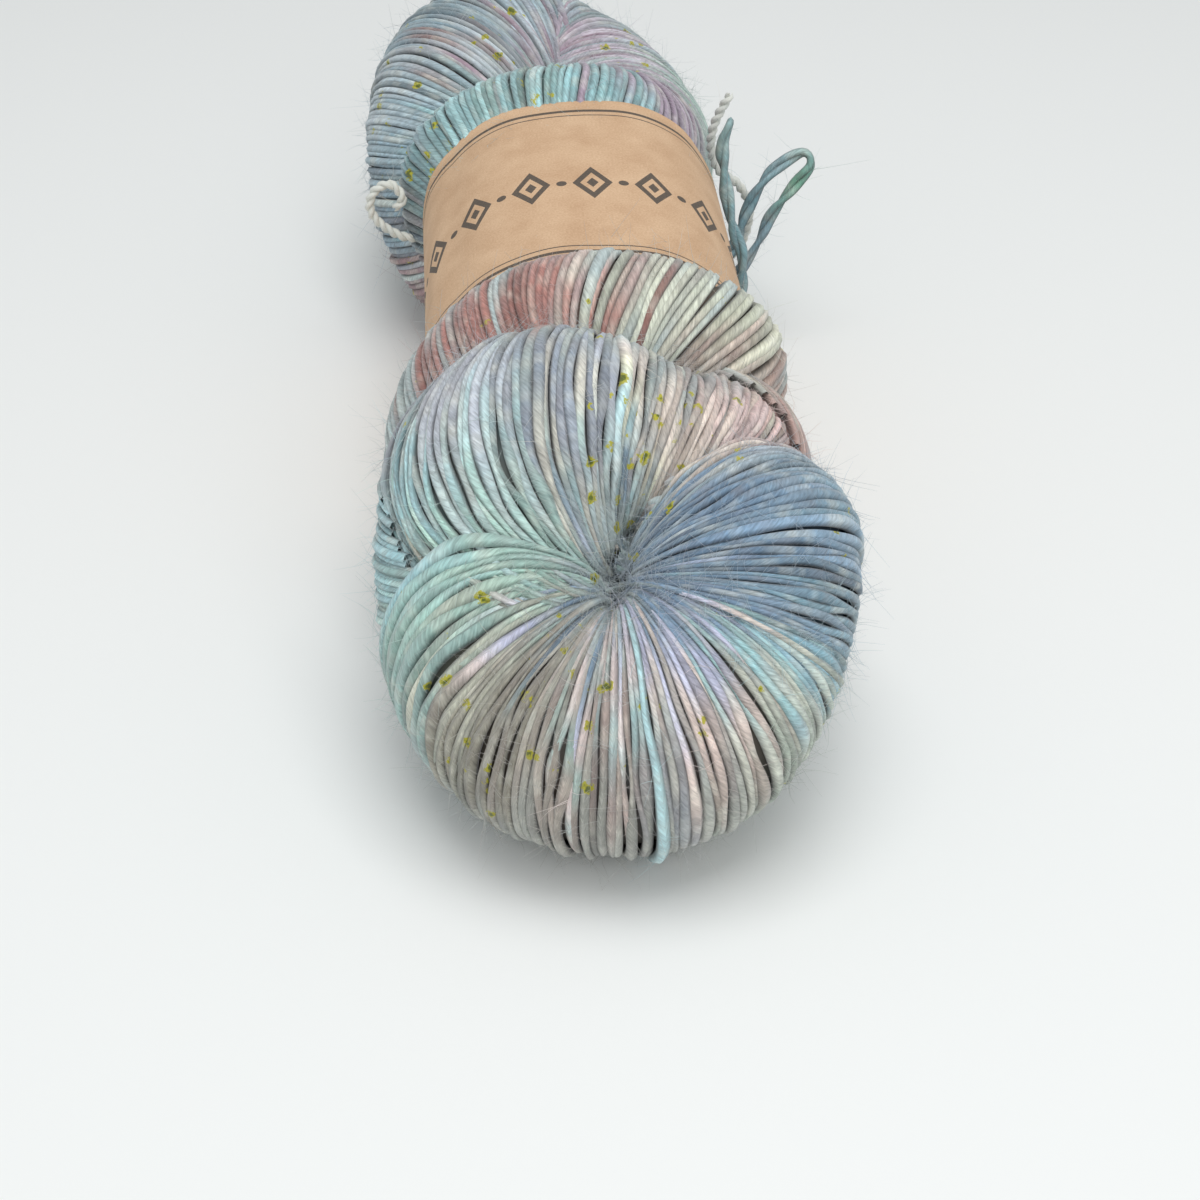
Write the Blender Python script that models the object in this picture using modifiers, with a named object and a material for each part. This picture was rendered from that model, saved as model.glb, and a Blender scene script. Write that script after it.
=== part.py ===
"""Skein of yarn: a hank twisted on itself, lying along Y on a table, with a kraft paper band round its
middle and four tie ends standing out beside the band. Metres, +Z up, near end towards -Y.

The hank is one closed rope of yarn, folded in two and plied on itself. Its centre line is a closed curve
through the rows below, so each row is one section of the rope: where it is and how thick it is there.
"""
import math

import bmesh
import bpy
from mathutils import Matrix, Vector

MM = 0.001
COLLECTION = "skein_of_yarn"
CUTTERS = "cutters"

# Where the band's middle stands from the centre of the hank's outer box, mm.
PLACE_X = 0.05
PLACE_Y = -10.95

GAP = 0.35                  # clear space kept between neighbouring pieces, mm

# Sections of the rope, mm. x is across, y along the hank, z up, r the rope's radius there.
NEAR_END = (
    # x,    y,    z,   r
    (15.0, -31.0, 23.0, 19.5),      # coming out from under the band, low on the right
    (22.0, -43.0, 35.0, 20.5),
    (17.0, -56.0, 43.0, 19.5),      # first turn over the top
    (6.0, -62.0, 50.5, 20.0),
    (-8.0, -64.0, 54.5, 23.5),
    (-17.0, -72.0, 47.5, 24.5),
    (-16.5, -88.0, 32.5, 24.5),
    (-10.0, -101.0, 25.0, 23.0),    # the fold at the near end
    (3.0, -105.0, 23.5, 22.5),
    (13.0, -104.0, 29.5, 22.5),
    (20.0, -97.0, 39.0, 22.0),
    (24.0, -86.0, 45.0, 21.0),
    (24.0, -73.0, 36.0, 20.5),      # down the right side and underneath
    (8.0, -65.0, 20.5, 20.5),
    (-8.0, -54.0, 18.0, 20.5),
    (-18.0, -44.0, 26.0, 20.5),
    (-19.0, -35.0, 40.0, 20.5),
    (-9.0, -27.0, 50.5, 20.5),      # second turn over the top
    (4.0, -23.0, 54.0, 21.0),
    (18.5, -20.0, 47.0, 21.5),
    (21.0, -9.0, 35.0, 20.0),
)
UNDER_BAND_OUT = (
    (14.0, 5.0, 23.0, 19.5),
    (0.0, 20.0, 17.5, 19.5),
    (-13.0, 31.0, 23.0, 19.5),
)
FAR_END = (
    (-22.0, 46.0, 34.0, 20.5),
    (-19.0, 55.0, 44.5, 21.0),      # third turn over the top
    (-6.0, 61.0, 50.5, 20.5),
    (5.0, 66.0, 50.0, 19.5),
    (12.0, 73.0, 44.5, 20.0),
    (16.0, 86.0, 36.0, 21.5),
    (15.0, 101.0, 33.0, 23.0),      # the fold at the far end
    (7.0, 118.0, 34.0, 24.5),
    (-6.0, 124.0, 38.0, 25.5),
    (-17.0, 116.0, 43.0, 24.0),
    (-23.0, 99.0, 41.0, 22.0),
    (-24.0, 83.0, 30.0, 20.5),
    (-15.0, 70.0, 20.0, 20.5),
)
UNDER_BAND_BACK = (
    (0.0, 60.0, 17.5, 20.0),
    (14.0, 50.0, 23.0, 19.5),
    (18.0, 38.0, 36.0, 19.0),
    (13.0, 28.0, 47.0, 19.0),
    (0.0, 20.0, 52.0, 19.0),
    (-12.0, 12.0, 48.0, 19.0),
    (-18.0, 2.0, 36.0, 19.0),
    (-14.0, -8.0, 23.0, 19.0),
    (0.0, -17.0, 17.0, 20.0),
)
CORE_RADIUS = 15.0          # yarn that fills the middle, between the two plies
CORE_Y = (-84.0, 106.0)
CORE_Z = 34.0
ROPE_SIDES = 4              # bevel resolution of the rope
ROPE_STEPS = 6              # curve steps between two sections
WELD_VOXEL = 1.7            # grid on which the turns of the rope grow together
KEEP_FACES = 0.065          # share of the welded form's faces that is kept

# The paper band, mm.
BAND_Y = (-16.0, 57.0)
BAND_X = 2.7                # the band's middle, right of the hank's axis
BAND_HALF_WIDTH = 33.5
BAND_HEIGHT = 66.5
BAND_SQUARENESS = 0.84      # 1 is a round band, smaller is boxier
BAND_THICKNESS = 1.0
BAND_LAP = (155.0, 204.0)   # degrees round from +X: where the band starts inside and ends outside
LAP_LIFT = 1.5              # the outer end's height over the inner one
BAND_POINTS = 88
BAND_FLARE = 10.0           # how far the hank bulges back out past the band's edges

# Ties, mm: x, y, z of the route's own points.
YARN_TIE_RADIUS = 0.95
COTTON_TIE_RADIUS = 1.1
CORD_STEP = 4.2
YARN_TIE_BOW = (
    (31.5, 61.0, 20.0), (37.0, 63.5, 20.5), (41.4, 65.0, 25.0), (43.0, 65.0, 32.0), (47.0, 65.0, 41.0),
    (52.4, 65.0, 46.3), (56.4, 65.0, 47.8), (57.6, 64.0, 45.0), (53.6, 63.0, 40.0), (49.0, 63.0, 33.0),
    (45.6, 63.0, 25.0), (40.0, 62.0, 16.5), (32.5, 61.0, 14.0),
)
YARN_TIE_END = (
    (32.0, 60.0, 8.0), (38.5, 59.0, 10.0), (42.0, 58.5, 16.0), (42.0, 58.5, 25.0), (39.5, 58.5, 33.2),
    (37.5, 59.0, 43.6), (36.5, 59.0, 52.4), (38.0, 59.0, 60.1),
)
COTTON_TIE_END = (
    (30.5, 67.0, 13.0), (37.0, 70.0, 15.0), (43.5, 71.0, 22.0), (45.0, 71.0, 31.0), (42.0, 71.0, 37.4),
    (37.5, 71.0, 41.0), (35.5, 71.0, 46.0), (35.5, 71.0, 51.0), (37.0, 71.0, 55.6), (39.6, 71.0, 60.5),
)
COTTON_TIE_LOOP = (
    (-32.0, 61.5, 31.0), (-37.6, 60.5, 32.6), (-42.4, 60.5, 36.4), (-44.0, 60.5, 40.4), (-42.4, 60.5, 44.4),
    (-38.8, 60.5, 45.6), (-36.4, 60.5, 42.0), (-38.6, 60.5, 39.2),
)

YARN_COLOUR = (0.44, 0.52, 0.53)
COTTON_COLOUR = (0.74, 0.70, 0.60)
KRAFT_COLOUR = (0.61, 0.43, 0.27)


def collection(name):
    found = bpy.data.collections.new(name)
    bpy.context.scene.collection.children.link(found)
    return found


def material(name, colour, roughness):
    made = bpy.data.materials.new(name)
    made.use_nodes = True
    shader = made.node_tree.nodes["Principled BSDF"]
    shader.inputs["Base Color"].default_value = (*colour, 1.0)
    shader.inputs["Roughness"].default_value = roughness
    shader.inputs["Metallic"].default_value = 0.0
    return made


def add_object(name, data, home, parent):
    thing = bpy.data.objects.new(name, data)
    home.objects.link(thing)
    thing.parent = parent
    return thing


def mesh_from(thing, name, home, parent):
    """A mesh object with the evaluated shape of a curve, its caps welded; the curve is removed."""
    bpy.context.view_layer.update()
    graph = bpy.context.evaluated_depsgraph_get()
    data = bpy.data.meshes.new_from_object(thing.evaluated_get(graph))
    place = thing.matrix_local.copy()
    bpy.data.objects.remove(thing, do_unlink=True)
    work = bmesh.new()
    work.from_mesh(data)
    bmesh.ops.remove_doubles(work, verts=work.verts, dist=0.00001)
    bmesh.ops.recalc_face_normals(work, faces=work.faces)
    work.to_mesh(data)
    work.free()
    solid = add_object(name, data, home, parent)
    solid.matrix_local = place
    return solid


def boolean(target, cutter, operation):
    cut = target.modifiers.new(cutter.name, "BOOLEAN")
    cut.operation = operation
    cut.solver = "EXACT"
    cut.object = cutter


def hide_cutter(thing):
    thing.hide_render = True
    thing.display_type = "WIRE"


def rope_curve(home, parent):
    """The closed rope: an automatic Bezier curve through every section, with its own radius at each."""
    rows = NEAR_END + UNDER_BAND_OUT + FAR_END + UNDER_BAND_BACK
    data = bpy.data.curves.new("rope", "CURVE")
    data.dimensions = "3D"
    data.twist_mode = "MINIMUM"
    data.bevel_depth = MM
    data.bevel_resolution = ROPE_SIDES
    data.resolution_u = ROPE_STEPS
    spline = data.splines.new("BEZIER")
    spline.bezier_points.add(len(rows) - 1)
    spline.use_cyclic_u = True
    for point, (x, y, z, radius) in zip(spline.bezier_points, rows):
        point.co = Vector((x, y, z)) * MM
        point.radius = radius
        point.handle_left_type = "AUTO"
        point.handle_right_type = "AUTO"
    return add_object("rope", data, home, parent)


def core_cylinder(home, parent):
    length = CORE_Y[1] - CORE_Y[0]
    bpy.ops.mesh.primitive_cylinder_add(vertices=24, radius=CORE_RADIUS * MM, depth=length * MM)
    core = bpy.context.object
    core.name = "core"
    for owner in list(core.users_collection):
        owner.objects.unlink(core)
    home.objects.link(core)
    core.parent = parent
    core.location = (0.0, sum(CORE_Y) / 2 * MM, CORE_Z * MM)
    core.rotation_euler = (math.radians(90.0), 0.0, 0.0)
    return core


def join(keep, other):
    with bpy.context.temp_override(active_object=keep, selected_editable_objects=[keep, other]):
        bpy.ops.object.join()


def profile(angle, inset):
    """The band's section: a circle squared a little, flat where it lies on the table. x and z in mm."""
    across, up = math.cos(angle), math.sin(angle)
    half_height = BAND_HEIGHT / 2
    x = (BAND_HALF_WIDTH - inset) * math.copysign(abs(across) ** BAND_SQUARENESS, across)
    z = (half_height - inset) * math.copysign(abs(up) ** BAND_SQUARENESS, up)
    return x, half_height + z


def band_strip():
    """Points of the paper's inner face, from its inner end round to its lapped outer end."""
    start, end = (math.radians(value) for value in BAND_LAP)
    turn = math.tau + end - start
    lap = turn - math.tau
    points = []
    for index in range(BAND_POINTS + 1):
        angle = turn * index / BAND_POINTS
        lifted = min(max((angle - math.tau + lap) / lap, 0.0), 1.0)
        x, z = profile(start + angle, BAND_THICKNESS - LAP_LIFT * lifted)
        points.append((x, max(z, BAND_THICKNESS)))
    return points


def upright_curve(name, home, parent):
    """A flat curve that stands in the XZ plane, halfway along the band."""
    data = bpy.data.curves.new(name, "CURVE")
    data.dimensions = "2D"
    thing = add_object(name, data, home, parent)
    thing.rotation_euler = (math.radians(90.0), 0.0, 0.0)
    thing.location = (BAND_X * MM, sum(BAND_Y) / 2 * MM, 0.0)
    return thing


def outline(data, points, closed):
    spline = data.splines.new("POLY")
    spline.points.add(len(points) - 1)
    spline.use_cyclic_u = closed
    for point, (x, y) in zip(spline.points, points):
        point.co = (x * MM, y * MM, 0.0, 1.0)


def paper_band(home, parent, kraft):
    ribbon = upright_curve("ribbon", home, parent)
    ribbon.data.fill_mode = "NONE"
    ribbon.data.extrude = (BAND_Y[1] - BAND_Y[0]) / 2 * MM
    outline(ribbon.data, band_strip(), False)
    band = mesh_from(ribbon, "paper_band", home, parent)
    shell = band.modifiers.new("paper", "SOLIDIFY")
    shell.thickness = BAND_THICKNESS * MM
    shell.offset = 1.0
    shell.use_even_offset = True
    band.data.materials.append(kraft)
    return band


def band_room(name, flare, home, parent):
    """Room that the band takes from the hank: a thick frame whose hole flares by so much at both ends."""
    frame = upright_curve(name + "_outline", home, parent)
    frame.data.fill_mode = "BOTH"
    frame.data.bevel_depth = flare * MM
    frame.data.bevel_resolution = 1
    frame.data.extrude = ((BAND_Y[1] - BAND_Y[0]) / 2 + GAP) * MM
    reach = 2.0 * BAND_HALF_WIDTH
    outline(frame.data, ((-reach, -reach), (reach, -reach), (reach, 2 * reach), (-reach, 2 * reach)), True)
    hole = []
    for index in range(BAND_POINTS):
        x, z = profile(math.tau * index / BAND_POINTS, BAND_THICKNESS + GAP - flare)
        hole.append((x, max(z, BAND_THICKNESS + GAP - flare)))
    outline(frame.data, hole, True)
    room = mesh_from(frame, name, home, parent)
    hide_cutter(room)
    return room


def floor_cut(home, parent):
    bpy.ops.mesh.primitive_cube_add(size=1.0)
    slab = bpy.context.object
    slab.name = "floor_cut"
    for owner in list(slab.users_collection):
        owner.objects.unlink(slab)
    home.objects.link(slab)
    slab.parent = parent
    slab.scale = (0.4, 0.6, 0.1)
    slab.location = (0.0, 0.0, -0.05)
    hide_cutter(slab)
    return slab


def smooth_route(points):
    """Points about CORD_STEP apart on a Catmull-Rom curve through the route's own points."""
    ends = [Vector(point) for point in points]
    ends = [2 * ends[0] - ends[1]] + ends + [2 * ends[-1] - ends[-2]]
    route = []
    for before, start, stop, after in zip(ends, ends[1:], ends[2:], ends[3:]):
        steps = max(1, round((stop - start).length / CORD_STEP))
        for index in range(steps):
            t = index / steps
            slope = (stop - before) * t
            bend = (2 * before - 5 * start + 4 * stop - after) * t ** 2
            twist = (3 * start - before - 3 * stop + after) * t ** 3
            route.append((2 * start + slope + bend + twist) / 2)
    route.append(ends[-2])
    return route


def cord_curve(name, points, radius, home, parent):
    data = bpy.data.curves.new(name, "CURVE")
    data.dimensions = "3D"
    data.bevel_depth = radius * MM
    data.bevel_resolution = 2
    data.use_fill_caps = True
    route = smooth_route(points)
    spline = data.splines.new("POLY")
    spline.points.add(len(route) - 1)
    for point, place in zip(spline.points, route):
        point.co = (*(place * MM), 1.0)
    return add_object(name, data, home, parent)


def cord_with_relief(name, points, radius, tint, home, cutters, parent):
    """A tie end, and the slightly fatter tube that keeps the hank clear of it."""
    cord = cord_curve(name, points, radius, home, parent)
    cord.data.materials.append(tint)
    fat = cord_curve("fat_" + name, points, radius + GAP, cutters, parent)
    relief = mesh_from(fat, "relief_" + name, cutters, parent)
    hide_cutter(relief)
    return relief


def hank(home, cutters, parent, yarn, reliefs):
    """The wound form: rope and core grown together, thinned, then cut for the band, table and ties."""
    skein = mesh_from(rope_curve(home, parent), "hank", home, parent)
    join(skein, core_cylinder(home, parent))
    weld = skein.modifiers.new("weld", "REMESH")
    weld.mode = "VOXEL"
    weld.voxel_size = WELD_VOXEL * MM
    weld.use_smooth_shade = True
    thin = skein.modifiers.new("thin", "DECIMATE")
    thin.ratio = KEEP_FACES
    for cutter in reliefs:
        boolean(skein, cutter, "DIFFERENCE")
    skein.data.materials.clear()
    skein.data.materials.append(yarn)
    return skein


def main():
    for thing in list(bpy.data.objects):
        bpy.data.objects.remove(thing, do_unlink=True)
    home = collection(COLLECTION)
    cutters = collection(CUTTERS)
    place = bpy.data.objects.new("placing", None)
    home.objects.link(place)
    place.location = (PLACE_X * MM, PLACE_Y * MM, 0.0)

    yarn = material("dyed_yarn", YARN_COLOUR, 0.9)
    cotton = material("cotton_string", COTTON_COLOUR, 0.9)
    kraft = material("kraft_paper", KRAFT_COLOUR, 0.75)

    paper_band(home, place, kraft)
    ties = (
        ("yarn_tie_bow", YARN_TIE_BOW, YARN_TIE_RADIUS, yarn),
        ("yarn_tie_end", YARN_TIE_END, YARN_TIE_RADIUS, yarn),
        ("cotton_tie_end", COTTON_TIE_END, COTTON_TIE_RADIUS, cotton),
        ("cotton_tie_loop", COTTON_TIE_LOOP, COTTON_TIE_RADIUS, cotton),
    )
    reliefs = [
        band_room("band_flare", BAND_FLARE, cutters, place),
        band_room("band_room", 0.0, cutters, place),
        floor_cut(cutters, place),
    ]
    for name, points, radius, tint in ties:
        reliefs.append(cord_with_relief(name, points, radius, tint, home, cutters, place))
    hank(home, cutters, place, yarn, reliefs)


if __name__ == "__main__":
    main()
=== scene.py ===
"""Skein of hand-dyed yarn: every strand that shows on the twisted hank, its fuzz, the kraft paper band
and the tie ends, set on a white table. Lengths in the tables are millimetres in the hank's own layout,
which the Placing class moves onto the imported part."""

import math

import bpy
import numpy as np
from bpy.props import FloatProperty, FloatVectorProperty, IntProperty, PointerProperty
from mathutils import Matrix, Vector, kdtree


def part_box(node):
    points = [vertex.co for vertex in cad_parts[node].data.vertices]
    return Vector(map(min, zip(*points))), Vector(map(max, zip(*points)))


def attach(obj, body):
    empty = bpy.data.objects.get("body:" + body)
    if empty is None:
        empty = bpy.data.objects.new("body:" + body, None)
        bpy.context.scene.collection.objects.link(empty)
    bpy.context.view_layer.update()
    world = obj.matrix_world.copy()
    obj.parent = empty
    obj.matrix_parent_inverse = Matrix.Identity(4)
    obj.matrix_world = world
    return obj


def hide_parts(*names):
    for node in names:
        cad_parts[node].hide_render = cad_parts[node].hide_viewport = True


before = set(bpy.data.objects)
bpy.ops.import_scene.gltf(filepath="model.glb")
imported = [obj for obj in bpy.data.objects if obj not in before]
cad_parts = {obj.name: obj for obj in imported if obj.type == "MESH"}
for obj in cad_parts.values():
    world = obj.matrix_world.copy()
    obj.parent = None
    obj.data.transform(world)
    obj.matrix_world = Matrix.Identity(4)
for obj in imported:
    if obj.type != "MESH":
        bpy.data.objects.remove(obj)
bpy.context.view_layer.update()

bl_info = {
    "name": "Skein of hand-dyed yarn",
    "version": (1, 0, 0),
    "blender": (4, 5, 0),
    "location": "View3D > Sidebar > Skein",
    "description": "Builds a twisted hank of single-ply yarn with its paper band and ties",
    "category": "Add Mesh",
}

MM = 0.001

# The rope of yarn that is folded and plied on itself, as sections along its closed centre line, mm.
# x is across, y along the hank, z up, r the rope's radius, twist the strands' turn in radians per mm.
ROPE = (
    # x,    y,    z,    r,   twist
    (0.0, 20.0, 52.0, 19.0, -0.14),
    (-12.0, 12.0, 48.0, 19.0, -0.14),
    (-18.0, 2.0, 36.0, 19.0, -0.14),
    (-14.0, -8.0, 23.0, 19.0, -0.14),
    (0.0, -17.0, 17.0, 20.0, -0.14),
    (15.0, -31.0, 23.0, 19.5, -0.14),
    (22.0, -43.0, 35.0, 20.5, -0.14),
    (17.0, -56.0, 43.0, 19.5, -0.14),
    (6.0, -62.0, 50.5, 20.0, -0.14),
    (-8.0, -64.0, 54.5, 23.5, -0.15),
    (-17.0, -72.0, 47.5, 24.5, -0.16),
    (-16.5, -88.0, 32.5, 24.5, -0.18),
    (-10.0, -101.0, 25.0, 23.0, -0.19),
    (3.0, -105.0, 23.5, 22.5, -0.19),
    (13.0, -104.0, 29.5, 22.5, -0.18),
    (20.0, -97.0, 39.0, 22.0, -0.17),
    (24.0, -86.0, 45.0, 21.0, -0.15),
    (24.0, -73.0, 36.0, 20.5, -0.14),
    (8.0, -65.0, 20.5, 20.5, -0.14),
    (-8.0, -54.0, 18.0, 20.5, -0.14),
    (-18.0, -44.0, 26.0, 20.5, -0.14),
    (-19.0, -35.0, 40.0, 20.5, -0.14),
    (-9.0, -27.0, 50.5, 20.5, -0.14),
    (4.0, -23.0, 54.0, 21.0, -0.14),
    (18.5, -20.0, 47.0, 21.5, -0.14),
    (21.0, -9.0, 35.0, 20.0, -0.14),
    (14.0, 5.0, 23.0, 19.5, -0.14),
    (0.0, 20.0, 17.5, 19.5, -0.14),
    (-13.0, 31.0, 23.0, 19.5, -0.14),
    (-22.0, 46.0, 34.0, 20.5, -0.14),
    (-19.0, 55.0, 44.5, 21.0, -0.14),
    (-6.0, 61.0, 50.5, 20.5, -0.14),
    (5.0, 66.0, 50.0, 19.5, -0.14),
    (12.0, 73.0, 44.5, 20.0, -0.14),
    (16.0, 86.0, 36.0, 21.5, -0.15),
    (15.0, 101.0, 33.0, 23.0, -0.17),
    (7.0, 118.0, 34.0, 24.5, -0.19),
    (-6.0, 124.0, 38.0, 25.5, -0.19),
    (-17.0, 116.0, 43.0, 24.0, -0.18),
    (-23.0, 99.0, 41.0, 22.0, -0.16),
    (-24.0, 83.0, 30.0, 20.5, -0.15),
    (-15.0, 70.0, 20.0, 20.5, -0.14),
    (0.0, 60.0, 17.5, 20.0, -0.14),
    (14.0, 50.0, 23.0, 19.5, -0.14),
    (18.0, 38.0, 36.0, 19.0, -0.14),
    (13.0, 28.0, 47.0, 19.0, -0.14),
)
ROPE_STEP = 0.8             # between the points on the smooth centre line
BURIED = 2.6                # strands deeper than this inside another turn are left out
NEIGHBOUR = 48.0            # rope nearer than this along its line isn't another turn

# The band's section and place, mm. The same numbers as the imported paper_band node.
BAND_HALF_WIDTH = 33.5
BAND_X = 2.7                # the band's middle, to the right of the hank's axis
BAND_HEIGHT = 66.5
BAND_SQUARENESS = 0.84
BAND_Y = (-16.0, 57.0)
BAND_LAP = (155.0, 204.0)
BAND_LAP_LIFT = 1.1
BAND_HIDES = 9.0            # strands further than this inside the band are left out
BAND_FLARE = 1.05           # how steeply the hank swells again past the band's edges
PAPER_ROOM = 0.6            # from the band's outside to the yarn in it
BAND_EASE = 3.0             # the yarn's bend where the band starts to press it
TABLE_FLAT = 1.0            # strands are pressed flat on the table over this height

# Pools of dye on the finished hank: x, y, z and reach in mm, then the colour.
DYE_POOLS = (
    # x,    y,     z,    reach, colour
    (-36.0, -86.0, 54.0, 13.0, "#a3c3c9"),      # near fold, upper left: aqua
    (-28.0, -80.0, 62.0, 8.0, "#c3c8c2"),
    (-28.0, -70.0, 69.0, 8.0, "#b9bcc4"),
    (-19.0, -92.0, 58.0, 7.0, "#a8bfbb"),
    (-20.0, -78.0, 72.0, 7.0, "#a9c2c4"),
    (-12.0, -72.0, 75.0, 8.0, "#a0a9b4"),
    (-8.0, -84.0, 68.0, 7.0, "#cbc9c0"),
    (-3.0, -75.0, 73.0, 7.0, "#a9afba"),
    (2.0, -82.0, 65.0, 6.0, "#a9c4c8"),
    (5.0, -76.0, 68.0, 4.0, "#c9ccb4"),
    (13.0, -76.0, 65.0, 8.0, "#dcd0c6"),        # upper right: cream and pink
    (26.0, -68.0, 58.0, 9.0, "#d5bfb9"),
    (34.0, -62.0, 50.0, 8.0, "#c9aba6"),
    (14.0, -100.0, 58.0, 10.0, "#73879b"),      # right: slate blue
    (36.0, -76.0, 50.0, 14.0, "#829caa"),
    (34.0, -100.0, 56.0, 12.0, "#8094a6"),
    (37.0, -110.0, 44.0, 9.0, "#86a4ae"),
    (20.0, -114.0, 50.0, 5.0, "#a3c3c4"),
    (-23.0, -97.0, 55.0, 8.0, "#a9c4b8"),       # bottom of the near fold: mint to cream
    (-37.0, -97.0, 44.0, 9.0, "#a4bfb5"),
    (-37.0, -100.0, 28.0, 10.0, "#93aaa6"),
    (-26.0, -107.0, 44.0, 8.0, "#b0b1a5"),
    (-25.0, -116.0, 30.0, 9.0, "#99968b"),
    (-15.0, -112.0, 41.0, 7.0, "#a09b92"),
    (-12.0, -122.0, 26.0, 9.0, "#a19a92"),
    (-9.0, -118.0, 37.0, 4.0, "#9dbab6"),
    (-4.0, -114.0, 42.0, 5.0, "#dccfcc"),
    (-4.0, -126.0, 29.0, 8.0, "#ab9b96"),
    (1.0, -122.0, 36.0, 5.0, "#b6d3d4"),
    (6.0, -112.0, 50.0, 6.0, "#c7c9dc"),
    (7.0, -127.0, 26.0, 7.0, "#a0a5ab"),
    (13.0, -119.0, 44.0, 6.0, "#d9c9c2"),
    (19.0, -124.0, 32.0, 8.0, "#a2968f"),
    (28.0, -119.0, 36.0, 7.0, "#cfd3c8"),
    (30.0, -116.0, 22.0, 11.0, "#a3aca2"),
    (0.0, -122.0, 8.0, 16.0, "#9fa09a"),
    (-21.0, -35.0, 64.0, 10.0, "#96706a"),      # second turn: mauve, cream, brown
    (-9.0, -34.0, 70.0, 8.0, "#a87f78"),
    (-2.0, -34.0, 71.0, 4.0, "#cdd2c8"),
    (3.0, -34.0, 71.0, 5.0, "#94777a"),
    (12.0, -35.0, 68.0, 8.0, "#c4c8bb"),
    (22.0, -36.0, 63.0, 7.0, "#a3908a"),
    (31.0, -31.0, 58.0, 8.0, "#c5c9b9"),
    (37.0, -33.0, 48.0, 8.0, "#a9948b"),
    (38.0, -46.0, 42.0, 11.0, "#c0a49d"),
    (-34.0, 58.0, 46.0, 10.0, "#97b7bb"),       # third turn: aqua
    (-24.0, 60.0, 64.0, 11.0, "#a2c1c4"),
    (-6.0, 60.0, 68.0, 8.0, "#9db8b4"),
    (8.0, 60.0, 67.0, 11.0, "#98b9bd"),
    (-36.0, 58.0, 36.0, 6.0, "#b3a7aa"),
    (-42.0, 84.0, 50.0, 12.0, "#94a6ae"),       # far fold: grey blue, white, lavender
    (-42.0, 74.0, 30.0, 12.0, "#8499a6"),
    (-36.0, 70.0, 14.0, 11.0, "#8d7376"),
    (-38.0, 96.0, 54.0, 9.0, "#b6bfc4"),
    (-26.0, 99.0, 62.0, 7.0, "#8f706a"),
    (-30.0, 112.0, 58.0, 12.0, "#8ea3ad"),
    (-14.0, 104.0, 63.0, 9.0, "#c4ccd2"),
    (-6.0, 118.0, 64.0, 10.0, "#9aaab2"),
    (6.0, 112.0, 60.0, 9.0, "#937a86"),
    (16.0, 108.0, 54.0, 9.0, "#c6bfc9"),
    (26.0, 80.0, 56.0, 14.0, "#988a98"),
    (31.0, 92.0, 40.0, 13.0, "#a0b6ae"),
    (0.0, 140.0, 40.0, 20.0, "#9fb0b4"),
)
DYE_GROUND = "#a9b4b4"      # where no pool reaches, mostly the underside
DYE_GROUND_SHARE = 0.02
DYE_WANDER = 9.0            # how far a strand's colour is taken from its place, mm
DYE_SPREAD = 0.17           # lightness differences between strands
DYE_DEPTH = 1.25            # the pools' colours are this much stronger than the hank looks
DYE_LIFT = 0.98            # the strands' own colour is lighter than the hank looks, as grooves shade it
GROOVE_PAINTED_SHADE = 0.34         # painted shade and light: a strand's colour is multiplied by this in the groove beside it, and by the next on its crown
CROWN_PAINTED_LIGHT = 1.18

LOZENGE_ROW = 34.0          # the printed row's place across the band, mm from its near edge
LOZENGE_PITCH = 13.0
BAND_STEPS = 200
BAND_ACROSS = 24

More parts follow.
